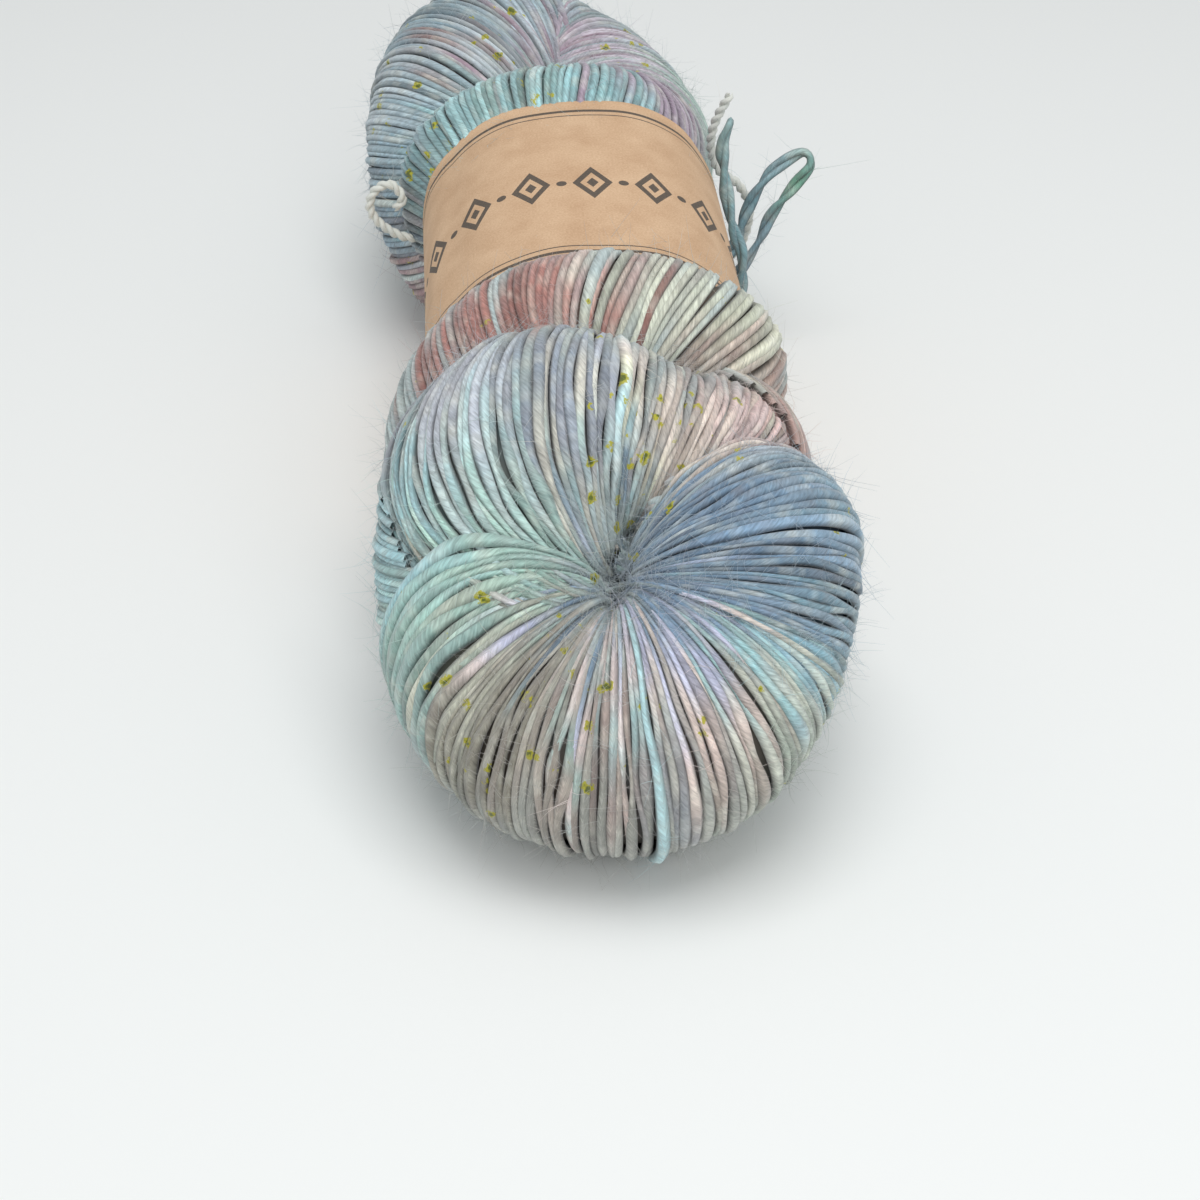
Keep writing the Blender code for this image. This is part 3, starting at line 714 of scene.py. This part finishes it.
def undyed_cotton():
    """Two-ply cotton string tied on before dyeing, which takes the dye poorly. The eye sees a matt off-white
    twist, a little grey in its grooves."""
    made, tree, shader = new_material("undyed_cotton_two_ply")
    place = add_node(tree, "ShaderNodeTexCoord").outputs["Object"]
    stain = add_node(tree, "ShaderNodeTexNoise", {"Scale": 160.0, "Detail": 2.0}, {"Vector": place})
    colour = add_node(tree, "ShaderNodeMix", {
        "data_type": "RGBA", "A": (*srgb("#eceae0"), 1.0), "B": (*srgb("#c6cecb"), 1.0),
    }, {0: stain.outputs["Fac"]})
    tree.links.new(colour.outputs["Result"], shader.inputs["Base Color"])
    fine = add_node(tree, "ShaderNodeTexNoise", {"Scale": 2600.0, "Detail": 2.0}, {"Vector": place})
    bumps = add_node(tree, "ShaderNodeBump", {"Strength": 0.4, "Distance": 0.0002},
                     {"Height": fine.outputs["Fac"]})
    tree.links.new(bumps.outputs[0], shader.inputs["Normal"])
    shader.inputs["Roughness"].default_value = 0.9
    shader.inputs["Sheen Weight"].default_value = 0.2
    return made


def printed_kraft():
    """Unbleached kraft paper with an offset-printed charcoal border. The eye sees a warm, matt tan with
    short paler and darker pulp fibres, and ink that sinks in and keeps the paper's grain."""
    made, tree, shader = new_material("kraft_paper_offset_printed")
    along = add_node(tree, "ShaderNodeAttribute", {"attribute_name": "along"}).outputs["Fac"]
    around = add_node(tree, "ShaderNodeAttribute", {"attribute_name": "around"}).outputs["Fac"]
    inside = add_node(tree, "ShaderNodeAttribute", {"attribute_name": "inside"}).outputs["Fac"]

    flat = add_node(tree, "ShaderNodeCombineXYZ", None, {0: around, 1: along}).outputs[0]
    pulp = add_node(tree, "ShaderNodeTexNoise", {"Scale": 2.2, "Detail": 4.0, "Roughness": 0.65},
                    {"Vector": flat})
    cloud = add_node(tree, "ShaderNodeTexNoise", {"Scale": 0.12, "Detail": 2.0}, {"Vector": flat})
    known = {"along": along, "around": around, "inside": inside, "pulp": pulp.outputs["Fac"],
             "cloud": cloud.outputs["Fac"]}
    for name, operation, first, second in BORDER_STEPS:
        settings, links = {"operation": operation}, {}
        for at, value in enumerate((first, second)):
            if isinstance(value, str):
                links[at] = known[value]
            else:
                settings[at] = value
        known[name] = add_node(tree, "ShaderNodeMath", settings, links).outputs[0]
    tan = add_node(tree, "ShaderNodeValToRGB", None, {0: known["tone"]})
    ramp = tan.color_ramp.elements
    ramp[0].position, ramp[0].color = 0.33, (*srgb("#bf9a78"), 1.0)
    ramp[1].position, ramp[1].color = 0.68, (*srgb("#dfbf9d"), 1.0)

    printed = add_node(tree, "ShaderNodeMix", {"data_type": "RGBA", "B": (*srgb("#4b4743"), 1.0)},
                       {0: known["shown"], "A": tan.outputs[0]})
    paler = add_node(tree, "ShaderNodeMix", {"data_type": "RGBA", "B": (*srgb("#e2cdb4"), 1.0)},
                     {0: known["paler"], "A": printed.outputs["Result"]})
    tree.links.new(paler.outputs["Result"], shader.inputs["Base Color"])
    bumps = add_node(tree, "ShaderNodeBump", {"Strength": 0.25, "Distance": 0.0001},
                     {"Height": pulp.outputs["Fac"]})
    tree.links.new(bumps.outputs[0], shader.inputs["Normal"])
    shader.inputs["Roughness"].default_value = 0.72
    shader.inputs["IOR"].default_value = 1.5
    shader.inputs["Specular IOR Level"].default_value = 0.35
    return made


def white_board():
    """Matt white melamine board. The eye sees an even pale ground that only holds the soft shadow."""
    made, _, shader = new_material("matt_white_board")
    shader.inputs["Base Color"].default_value = (*srgb("#eef0ef"), 1.0)
    shader.inputs["Roughness"].default_value = 0.6
    shader.inputs["Specular IOR Level"].default_value = 0.2
    return made


def fanned(place):
    """One where the rope lies under the fan of combed strands, easing to nought outside."""
    return np.clip((place - FANNED[0]) / 8.0, 0.0, 1.0) * np.clip((FANNED[1] - place) / 8.0, 0.0, 1.0)


def hank_strands(settings):
    """The strands that show on the hank, in the tables' millimetres: line, thick, dye and the rest."""
    rng = np.random.default_rng(settings.seed)
    rope = Rope()
    fans = fan_strands(settings, rope)
    count = len(rope.line)
    places = np.arange(settings.strand_count) / settings.strand_count
    found = []
    radius = settings.strand_radius * 1000
    for number, phase in enumerate(places):
        angle = math.tau * phase + rope.turn + drift(rng, count, 16, 0.028) + rng.normal(0.0, 0.012)
        sunk = radius + rng.uniform(0.0, 0.45) + drift(rng, count, 14, 0.28)
        sunk = sunk + FAN_SINK * fanned(rope.length)
        noise = 1.0 + rng.normal(0.0, 0.06) + drift(rng, count, 9, 0.11)
        line = rope.surface(angle, -sunk)
        beside = rope.surface(angle + math.tau / settings.strand_count, -sunk) - line
        along = unit(np.gradient(line, axis=0))
        room = np.linalg.norm(beside - (beside * along).sum(1)[:, None] * along, axis=1)
        thick = noise * np.clip(STRAND_FILL * room, STRAND_FULL * radius, STRAND_MOST * radius)
        outward = unit(line - rope.line)
        line = settle(line, radius)
        odd = rng.random() < ODD_SHARE
        wander = rng.normal(0.0, DYE_WANDER * (1.5 if odd else 0.5), 3) + np.stack(
            [drift(rng, count, 18, DYE_WANDER * 0.4) for _ in range(3)], 1)
        shade = rng.normal(0.0, DYE_SPREAD) + drift(rng, count, 12, DYE_SPREAD * 0.6)
        dye = dye_at(line, wander, shade)
        along = lengths_along(line)
        hidden = rope.buried(line, rope.length)
        middle, half = sum(BAND_Y) / 2, (BAND_Y[1] - BAND_Y[0]) / 2
        hidden |= np.abs(line[:, 1] - middle) < half - BAND_HIDES
        hidden |= covered(line, fans)
        shown = ~hidden
        for _ in range(2):      # keep a little more at each end, so that the ends stay out of sight
            shown = shown | np.roll(shown, 1) | np.roll(shown, -1)
        shown[0] = shown[-1] = False
        edges = np.flatnonzero(np.diff(shown.astype(int)))
        for start, end in zip(edges[::2] + 1, edges[1::2] + 1):
            if end - start < 5:
                continue
            part = slice(start, end)
            size = end - start
            found.append({
                "line": line[part], "thick": thick[part], "dye": dye[part], "outward": outward[part],
                "along": along[part, None], "around": np.zeros((size, 1)),
                "strand": np.full((size, 1), float(number)),
                "speckled": speckles_at(line[part])[:, None],
            })
    return found + fans


def covered(line, fans):
    """True where a point lies just under the strands of the fans."""
    tree = kdtree.KDTree(sum(len(each["line"]) for each in fans))
    number = 0
    for each in fans:
        for point in each["line"]:
            tree.insert(point, number)
            number += 1
    tree.balance()
    return np.array([tree.find(point)[2] < UNDER_FAN for point in line])


def fan_strands(settings, rope):
    """The strands fanned out from the pinch in the near fold, combed over the rope's surface: each swings
    round a middle of the rope from the pinch, through an outward way, to a point on the far side."""
    rng = np.random.default_rng(settings.seed + 1)
    radius = settings.strand_radius * 1000
    found = []
    number = 100
    part = np.linspace(0.0, 1.0, FAN_STEPS)
    swing = part[:, None]
    for fan, (count, low, high, near_sink, near_reach, far_sink, guides) in enumerate(FANS):
        guides = np.array(guides)
        knots = np.arange(len(guides))
        between = (len(guides) - 1) / count
        combed = []
        for strand in range(count):
            stray = drift(rng, FAN_STEPS, 13, 0.3 * between) * np.minimum(part / 0.35, 1.0)
            at = (strand + 0.5) * between + stray
            row = np.stack([np.interp(at, knots, column) for column in guides.T], 1)
            pinch, middle, way, far = row[:, 0:3], row[:, 3:6], row[:, 6:9], row[:, 9:12]
            start, end = unit(pinch - middle), unit(far - middle)
            way = unit(start * (1 - swing) ** 2 + way * FAN_PULL * swing * (1 - swing) + end * swing ** 2)
            edge = near_sink * math.exp(-(strand / near_reach) ** 2)
            edge += far_sink * math.exp(-((count - 1 - strand) / FAN_LAST_REACH) ** 2)
            early = np.clip((FAN_EDGE_ENDS - part) / 0.25, 0.0, 1.0)
            sunk = radius + rng.uniform(0.0, 0.45) + drift(rng, FAN_STEPS, 10, 0.2) + edge * early
            sunk = sunk + PINCH_DEPTH * np.exp(-(part / PINCH_SHARE) ** 2)
            if (fan, strand) in FAN_PROUD:
                sunk = sunk - PROUD_LIFT * np.clip(part / 0.3 - 0.3, 0.0, 1.0)
            out = np.full(FAN_STEPS, FAN_START)
            for _ in range(FAN_SEARCHES):
                distance, _ = rope.level(middle + way * out[:, None], low, high)
                out = np.maximum(out - 0.95 * (distance + sunk), 0.0)
            line = middle + way * out[:, None]
            _, outward = rope.level(line, low, high)
            combed.append(np.concatenate([settle(line, radius), outward], 1))
        lines = np.stack(combed)
        apart = np.linalg.norm(np.diff(lines[:, :, :3], axis=0), axis=2)
        apart = (np.concatenate([apart[:1], apart]) + np.concatenate([apart, apart[-1:]])) / 2
        room = np.clip(FAN_FILL * apart, 0.62 * radius, 1.7 * radius)
        for strand in range(count):
            line = evenly(np.concatenate([lines[strand], room[strand][:, None]], 1), 1.9)
            line, outward, thick = line[:, :3], line[:, 3:6], line[:, 6]
            size = len(line)
            if size < 6:
                continue
            thick = thick * (1.0 + rng.normal(0.0, 0.05) + drift(rng, size, 5, 0.12))
            odd = rng.random() < ODD_SHARE
            shift = rng.normal(0.0, DYE_WANDER * (1.5 if odd else 0.6))
            shift = shift + drift(rng, size, 18, DYE_WANDER * 0.4)
            along_way = unit(np.gradient(line, axis=0))
            wander = along_way * shift[:, None] + rng.normal(0.0, DYE_WANDER * 0.35, 3)
            shade = rng.normal(0.0, DYE_SPREAD) + drift(rng, size, 12, DYE_SPREAD * 0.6)
            dye = dye_at(line, wander, shade)
            if (fan, strand) in FAN_PROUD:
                dye = np.tile(srgb(FAN_PROUD[fan, strand]), (size, 1)) * (1.0 + shade)[:, None]
            found.append({
                "line": line, "thick": thick, "dye": dye, "outward": outward,
                "along": lengths_along(line)[:, None], "around": np.zeros((size, 1)),
                "strand": np.full((size, 1), float(number)), "speckled": speckles_at(line)[:, None],
            })
            number += 1
    return found


def speckles_at(points):
    """The share of lattice cells that hold a speck of dry dye at these points."""
    share = np.full(len(points), SPECKLE_GROUND)
    for x, y, z, reach, dense in SPECKLE_POOLS:
        share = share + dense * np.exp(-((points - (x, y, z)) ** 2).sum(1) / reach ** 2)
    return share


def in_place(strand, placing):
    """A copy of a strand moved into the row frame, in metres."""
    moved = dict(strand)
    moved["line"] = placing.metres(strand["line"])
    moved["thick"] = strand["thick"] * MM
    return moved


def fibre_mesh(name, starts, ways, lengths, bends, thick, colours):
    """One mesh of loose fibres: three-sided, in three pieces, each bending away from its first direction."""
    steps = np.linspace(0.0, 1.0, FIBRE_PIECES + 1)
    line = starts[:, None] + ways[:, None] * (lengths[:, None] * steps)[:, :, None]
    line = line + bends[:, None] * ((lengths[:, None] * steps ** 2)[:, :, None])
    side = np.cross(ways, bends + 1e-9)
    side /= np.maximum(np.linalg.norm(side, axis=1), 1e-9)[:, None]
    other = np.cross(ways, side)
    angles = np.arange(3) * math.tau / 3
    ring = np.cos(angles)[:, None] * side[:, None] + np.sin(angles)[:, None] * other[:, None]
    taper = thick * (1.0 - 0.7 * steps)
    corners = line[:, :, None] + ring[:, None] * taper[None, :, None, None]
    corners[..., 2] = np.maximum(corners[..., 2], 0.0001)
    grid = np.arange(corners.shape[0] * (FIBRE_PIECES + 1) * 3).reshape(-1, FIBRE_PIECES + 1, 3)
    here, there = grid[:, :-1], grid[:, 1:]
    quads = np.stack([here, np.roll(here, -1, 2), np.roll(there, -1, 2), there], -1).reshape(-1, 4)
    dye = np.repeat(colours, (FIBRE_PIECES + 1) * 3, axis=0)
    return mesh_object(name, corners.reshape(-1, 3), quads, {"dye": dye})


def smooth_open(points, step):
    """Evenly spaced points on a Catmull-Rom curve from the first point to the last."""
    rows = np.array(points, float)
    rows = np.vstack([2 * rows[0] - rows[1], rows, 2 * rows[-1] - rows[-2]])
    fine = []
    for before, here, after, beyond in zip(rows, rows[1:], rows[2:], rows[3:]):
        for t in np.linspace(0.0, 1.0, 24, endpoint=False):
            fine.append((2 * here + (after - before) * t + (2 * before - 5 * here + 4 * after - beyond) * t * t
                         + (3 * here - before - 3 * after + beyond) * t ** 3) / 2)
    return evenly(np.array(fine + [rows[-2]]), step)


class YarnSettings(bpy.types.PropertyGroup):
    strand_count: IntProperty(
        name="Strands", description="Strands side by side round the rope of yarn", default=42, min=8, max=80)
    strand_radius: FloatProperty(
        name="Strand radius", description="Half the thickness of the single-ply yarn",
        default=0.00082, min=0.0003, max=0.003, unit="LENGTH")
    strand_sides: IntProperty(
        name="Strand sides", description="Faces round each strand", default=6, min=4, max=12)
    core_depth: FloatProperty(
        name="Core depth", description="How far under the strands' outside the inner yarn starts",
        default=0.0017, min=0.0005, max=0.005, unit="LENGTH")
    seed: IntProperty(name="Seed", description="Seed for the strands' wander and colour", default=7)


class FuzzSettings(bpy.types.PropertyGroup):
    fibres: IntProperty(
        name="Fibres", description="Loose fibres in each of the two halo pieces", default=8200, min=100, max=11000)
    longest: FloatProperty(
        name="Longest fibre", description="Length of the longest loose fibre",
        default=0.0075, min=0.001, max=0.01, unit="LENGTH")
    radius: FloatProperty(
        name="Fibre radius", description="Half the thickness of a loose fibre, as drawn",
        default=0.000045, min=0.000005, max=0.0002, unit="LENGTH")
    seed: IntProperty(name="Seed", description="Seed for the fibres", default=11)


class TieSettings(bpy.types.PropertyGroup):
    yarn_diameter: FloatProperty(
        name="Yarn diameter", description="Thickness of the tie made of the hank's own yarn",
        default=0.0019, min=0.001, max=0.004, unit="LENGTH")
    cotton_diameter: FloatProperty(
        name="Cotton diameter", description="Thickness of the two-ply cotton tie",
        default=0.0022, min=0.001, max=0.004, unit="LENGTH")
    cotton_pitch: FloatProperty(
        name="Cotton pitch", description="Length of one turn of the cotton's two plies",
        default=0.0046, min=0.002, max=0.02, unit="LENGTH")


class PaperSettings(bpy.types.PropertyGroup):
    thickness: FloatProperty(
        name="Paper thickness", description="Thickness of the kraft paper",
        default=0.00035, min=0.0001, max=0.001, unit="LENGTH")
    waviness: FloatProperty(
        name="Waviness", description="How far the paper stands in and out along its edges",
        default=0.00035, min=0.0, max=0.001, unit="LENGTH")


class StageSettings(bpy.types.PropertyGroup):
    sky: FloatProperty(name="Sky", description="Strength of the even white surround", default=0.5, min=0.0)
    overhead: FloatProperty(
        name="Overhead", description="Power of the large soft light overhead, in watts", default=5.2, min=0.0)
    front: FloatProperty(
        name="Front", description="Power of the soft light in front, in watts", default=2.5, min=0.0)
    overhead_size: FloatProperty(
        name="Overhead size", description="Side of the overhead light", default=0.65, min=0.05, unit="LENGTH")


def turned_to(place, target):
    """The rotation that points an object's -Z from place to target with its top up."""
    return (target - place).to_track_quat("-Z", "Y").to_euler()


class SKEIN_OT_stage(bpy.types.Operator):
    """Makes the camera, the table, the soft light overhead and the pale surround"""
    bl_idname = "skein.stage"
    bl_label = "Stage"

    def execute(self, context):
        settings, placing = context.scene.skein_stage, Placing()
        target = Vector(placing.metres(CAMERA_TARGET))
        pitch, yaw = math.radians(CAMERA_PITCH), math.radians(CAMERA_YAW)
        level = math.cos(pitch)
        look = Vector((math.sin(yaw) * level, math.cos(yaw) * level, -math.sin(pitch)))
        camera = bpy.data.objects.new("camera", bpy.data.cameras.new("camera"))
        camera.location = target - look * CAMERA_DISTANCE * MM
        camera.rotation_euler = turned_to(camera.location, target)
        camera.data.lens = CAMERA_LENS
        camera.data.clip_start = 0.01
        context.scene.collection.objects.link(camera)
        context.scene.camera = camera

        bpy.ops.mesh.primitive_plane_add(size=4.0)
        board = context.object
        board.name = "table"
        board.data.materials.append(white_board())

        lamp = bpy.data.objects.new("overhead", bpy.data.lights.new("overhead", "AREA"))
        lamp.data.energy = settings.overhead
        lamp.data.size = settings.overhead_size
        lamp.location = target + Vector((0.04, -0.08, 0.95))
        lamp.rotation_euler = turned_to(lamp.location, target)
        context.scene.collection.objects.link(lamp)
        front = bpy.data.objects.new("front", bpy.data.lights.new("front", "AREA"))
        front.data.energy = settings.front
        front.data.size = settings.overhead_size
        front.location = target + Vector((0.15, -0.8, 0.6))
        front.rotation_euler = turned_to(front.location, target)
        context.scene.collection.objects.link(front)

        world = bpy.data.worlds.new("surround")
        world.use_nodes = True
        surround = world.node_tree.nodes["Background"]
        surround.inputs["Color"].default_value = (*srgb("#f6f8f9"), 1.0)
        surround.inputs["Strength"].default_value = settings.sky
        context.scene.world = world
        context.scene.view_settings.view_transform = "Standard"
        return {"FINISHED"}


class SKEIN_OT_ties(bpy.types.Operator):
    bl_idname = "skein.ties"
    bl_label = "Ties"

    def execute(self, context):
        settings, placing = context.scene.skein_ties, Placing()
        rng = np.random.default_rng(5)
        yarn, cotton = hand_dyed_merino(), undyed_cotton()
        for name, route, hexes, far_end in TIES:
            line = smooth_open(route, 0.7)
            size = len(line)
            along = lengths_along(line)
            # The yarn ties' crown faces a fixed way, up and toward the front, so the crown shading paints light on
            # that side of each tie and shade on the other.
            common = {
                "outward": np.tile((0.0, -0.6, 0.8), (size, 1)), "dye": tie_dye(hexes, size),
                "along": along[:, None], "around": np.zeros((size, 1)),
                "strand": np.full((size, 1), 60.0), "speckled": np.full((size, 1), 0.05),
            }
            if name.startswith("cotton"):
                diameter = settings.cotton_diameter
                ply = diameter * 1000 * 0.29
                _, out, across = turning_frames(line)
                turn = along * math.tau / (settings.cotton_pitch * 1000)
                plies = []
                for half in (0.0, math.pi):
                    arm = np.cos(turn + half)[:, None] * out + np.sin(turn + half)[:, None] * across
                    plies.append({**common, "line": line + arm * ply * 0.85, "thick": np.full(size, ply)})
            else:
                diameter = settings.yarn_diameter
                _, out, across = turning_frames(line)
                plies = []
                for half in (0.0, math.pi):
                    turn = along * math.tau / TIE_LAY + half + drift(rng, size, 12, 0.25)
                    arm = np.cos(turn)[:, None] * out + np.sin(turn)[:, None] * across
                    thick = diameter * 450 * (1.0 + drift(rng, size, 5, 0.12))
                    plies.append({**common, "line": line + arm * diameter * 370, "thick": thick})
            closed = [close_ends(ply_line) for ply_line in plies]
            piece = tubes(name, [in_place(each, placing) for each in closed], 8, YARN_VALUES)
            piece.data.materials.append(cotton if name.startswith("cotton") else yarn)
            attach(piece, "root")
            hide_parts(name)
            path = [tuple(point) for point in placing.metres(smooth_open(route, 2.0))]
        return {"FINISHED"}


def tie_dye(hexes, size):
    """The linear colours of a tie's dye at evenly spaced points from its root to its tip."""
    shades = np.array([srgb(code) for code in hexes])
    at = np.linspace(0.0, len(shades) - 1, size)
    return np.stack([np.interp(at, np.arange(len(shades)), column) for column in shades.T], 1)


def close_ends(strand):
    """The strand with its last rings drawn in, so that its ends are shut."""
    shut = dict(strand)
    thick = strand["thick"].copy()
    thick[0] *= 0.05
    thick[-1] *= 0.05
    thick[1] *= 0.8
    thick[-2] *= 0.8
    shut["thick"] = thick
    return shut


class SKEIN_OT_strands(bpy.types.Operator):
    """Makes every strand of yarn that shows on the hank"""
    bl_idname = "skein.strands"
    bl_label = "Strands"

    def execute(self, context):
        settings, placing = context.scene.skein_yarn, Placing()
        found = hank_strands(settings)
        if not found:
            self.report({"ERROR"}, "no strand of the hank shows")
            return {"CANCELLED"}
        yarn = hand_dyed_merino()
        for number in range(STRAND_PIECES):
            mine = found[number::STRAND_PIECES]
            piece = tubes(f"hank_strands_{number + 1}", [in_place(each, placing) for each in mine],
                          settings.strand_sides, YARN_VALUES)
            piece.data.materials.append(yarn)
            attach(piece, "root")
            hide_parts("hank")
        return {"FINISHED"}


class SKEIN_OT_core(bpy.types.Operator):
    """Makes the yarn under the outer strands, which closes the gaps between them, its dye darkened as painted
    shade
    """
    bl_idname = "skein.core"
    bl_label = "Inner yarn"

    def execute(self, context):
        settings, placing = context.scene.skein_yarn, Placing()
        rope = Rope()
        depth = settings.core_depth * 1000
        every = slice(None, None, 3)
        rings = []
        for number in range(CORE_SIDES):
            angle = math.tau * number / CORE_SIDES + rope.turn
            sunk = depth + FAN_SINK * fanned(rope.length)
            rings.append(settle(rope.surface(angle, -sunk), depth)[every])
        corners = np.stack(rings, 1)
        dye = dye_at(corners.reshape(-1, 3), 0.0, np.zeros(corners.shape[0] * CORE_SIDES))
        # Painted shade: the inner yarn's dye is darkened so that the gaps between strands look shaded.
        dye = dye * CORE_PAINTED_SHADE
        grid = np.arange(corners.shape[0] * CORE_SIDES).reshape(-1, CORE_SIDES)
        here, there = grid[:-1], grid[1:]
        quads = np.stack([here, np.roll(here, -1, 1), np.roll(there, -1, 1), there], -1).reshape(-1, 4)
        piece = mesh_object("hank_inner", placing.metres(corners.reshape(-1, 3)), quads, {"dye": dye})
        piece.data.materials.append(merino_inside())
        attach(piece, "root")
        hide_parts("hank")
        return {"FINISHED"}


class SKEIN_OT_fuzz(bpy.types.Operator):
    """Makes the halo of loose fibres over the strands"""
    bl_idname = "skein.fuzz"
    bl_label = "Fuzz"

    def execute(self, context):
        settings, placing = context.scene.skein_fuzz, Placing()
        rng = np.random.default_rng(settings.seed)
        found = hank_strands(context.scene.skein_yarn)
        for name, route, hexes, _ in TIES:
            tie = smooth_open(route, 0.3 if name.startswith("yarn") else 0.8)
            any_way = unit(rng.normal(0.0, 1.0, tie.shape))
            found.append({"line": tie, "outward": any_way, "dye": tie_dye(hexes, len(tie))})
        line = np.concatenate([each["line"] for each in found])
        outward = np.concatenate([each["outward"] for each in found])
        along = np.concatenate([turning_frames(each["line"])[0] for each in found])
        dye = np.concatenate([each["dye"] for each in found])
        halo = merino_halo()
        for number in range(HALO_PIECES):
            fibres = settings.fibres // 1
            pick = rng.integers(0, len(line), fibres)
            out, way = outward[pick], along[pick]
            across = np.cross(out, way)
            turn = rng.uniform(0.0, math.tau, fibres)
            lean = rng.uniform(0.1, 0.75, fibres) ** 1.2
            level = np.cos(turn)[:, None] * way + np.sin(turn)[:, None] * across
            ways = level * np.sqrt(1.0 - lean ** 2)[:, None] + out * lean[:, None]
            bends = rng.normal(0.0, 0.33, (fibres, 3)) + out * 0.08
            lengths = settings.longest * rng.uniform(0.25, 1.0, fibres) ** 1.5
            starts = placing.metres(line[pick] + out * 0.55 + rng.normal(0.0, 0.2, (fibres, 3)))
            pale = dye[pick] * 0.8 + HALO_PALE
            piece = fibre_mesh(f"hank_halo_{number + 1}", starts, ways, lengths, bends,
                               settings.radius, pale)
            piece.data.materials.append(halo)
            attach(piece, "root")
            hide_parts("hank")
        return {"FINISHED"}


class SKEIN_OT_band(bpy.types.Operator):
    bl_idname = "skein.band"
    bl_label = "Paper band"

    def execute(self, context):
        settings, placing = context.scene.skein_band, Placing()
        rng = np.random.default_rng(3)
        first, last = BAND_LAP
        degrees = np.linspace(first, 360.0 + last, BAND_STEPS)
        angles = np.radians(degrees)
        lift = BAND_LAP_LIFT * np.clip((degrees - 360.0 - first + 14.0) / 14.0, 0.0, 1.0)
        thickness = settings.thickness * 1000
        across = np.linspace(BAND_Y[0], BAND_Y[1], BAND_ACROSS)
        reach = band_radius(np.cos(angles), np.sin(angles))
        wavy = settings.waviness * 1000
        wave_near, wave_far = drift(rng, BAND_STEPS, 9, wavy), drift(rng, BAND_STEPS, 9, wavy)
        share = (across - across[0]) / (across[-1] - across[0])
        wave = wave_near[:, None] * (1 - share) ** 3 + wave_far[:, None] * share ** 3
        layers, values = [], []
        arc = None
        for depth in (0.0, thickness):
            radius = (reach + lift)[:, None] + np.minimum(wave, 0.25) - depth
            x = BAND_X + radius * np.cos(angles)[:, None]
            z = np.maximum(BAND_HEIGHT / 2 + radius * np.sin(angles)[:, None], thickness - depth + 0.02)
            y = np.broadcast_to(across, x.shape)
            layers.append(np.stack([x, y, z], -1))
            if arc is None:
                steps = np.hypot(np.diff(x[:, 0]), np.diff(z[:, 0]))
                arc = np.concatenate([[0.0], np.cumsum(steps)])
        outer, inner = layers
        rows, columns = outer.shape[:2]
        count = rows * columns
        grid = np.arange(count).reshape(rows, columns)
        face = np.stack([grid[:-1, :-1], grid[1:, :-1], grid[1:, 1:], grid[:-1, 1:]], -1).reshape(-1, 4)
        sides = []
        for edge in (grid[:, 0], grid[::-1, -1], grid[0, ::-1], grid[-1, :]):
            sides.append(np.stack([edge[:-1], edge[:-1] + count, edge[1:] + count, edge[1:]], -1))
        quads = np.concatenate([face[:, ::-1], face + count, *sides])
        corners = np.concatenate([outer.reshape(-1, 3), inner.reshape(-1, 3)])
        along = np.tile(np.broadcast_to(across - BAND_Y[0], (rows, columns)).ravel(), 2)[:, None]
        around = np.tile(np.broadcast_to(arc[:, None], (rows, columns)).ravel(), 2)[:, None]
        inside = np.repeat([0.0, 1.0], count)[:, None]
        piece = mesh_object("paper_band_printed", placing.metres(corners), quads,
                            {"along": along, "around": around, "inside": inside})
        piece.data.materials.append(printed_kraft())
        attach(piece, "root")
        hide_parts("paper_band")
        return {"FINISHED"}


class SKEIN_PT_panel(bpy.types.Panel):
    """Lists the skein's pieces and their settings"""
    bl_idname = "SKEIN_PT_panel"
    bl_label = "Skein of yarn"
    bl_space_type = "VIEW_3D"
    bl_region_type = "UI"
    bl_category = "Skein"

    def draw(self, context):
        layout, scene = self.layout, context.scene
        for operator, group in PANEL_ROWS:
            box = layout.box()
            box.operator(operator)
            settings = getattr(scene, group)
            for key in settings.__annotations__:
                box.prop(settings, key)


PANEL_ROWS = (
    ("skein.stage", "skein_stage"),
    ("skein.ties", "skein_ties"),
    ("skein.strands", "skein_yarn"),
    ("skein.core", "skein_yarn"),
    ("skein.fuzz", "skein_fuzz"),
    ("skein.band", "skein_band"),
)
GROUPS = {
    "skein_stage": StageSettings,
    "skein_ties": TieSettings,
    "skein_yarn": YarnSettings,
    "skein_fuzz": FuzzSettings,
    "skein_band": PaperSettings,
}
CLASSES = (
    *GROUPS.values(), SKEIN_OT_stage, SKEIN_OT_ties, SKEIN_OT_strands, SKEIN_OT_core, SKEIN_OT_fuzz,
    SKEIN_OT_band, SKEIN_PT_panel,
)


def register():
    for each in CLASSES:
        bpy.utils.register_class(each)
    for name, group in GROUPS.items():
        setattr(bpy.types.Scene, name, PointerProperty(type=group))


def unregister():
    for name in GROUPS:
        delattr(bpy.types.Scene, name)
    for each in reversed(CLASSES):
        bpy.utils.unregister_class(each)


def main():
    register()
    bpy.ops.skein.stage()
    bpy.ops.skein.ties()
    bpy.ops.skein.strands()
    bpy.ops.skein.core()
    bpy.ops.skein.fuzz()
    bpy.ops.skein.band()


if __name__ == "__main__":
    main()
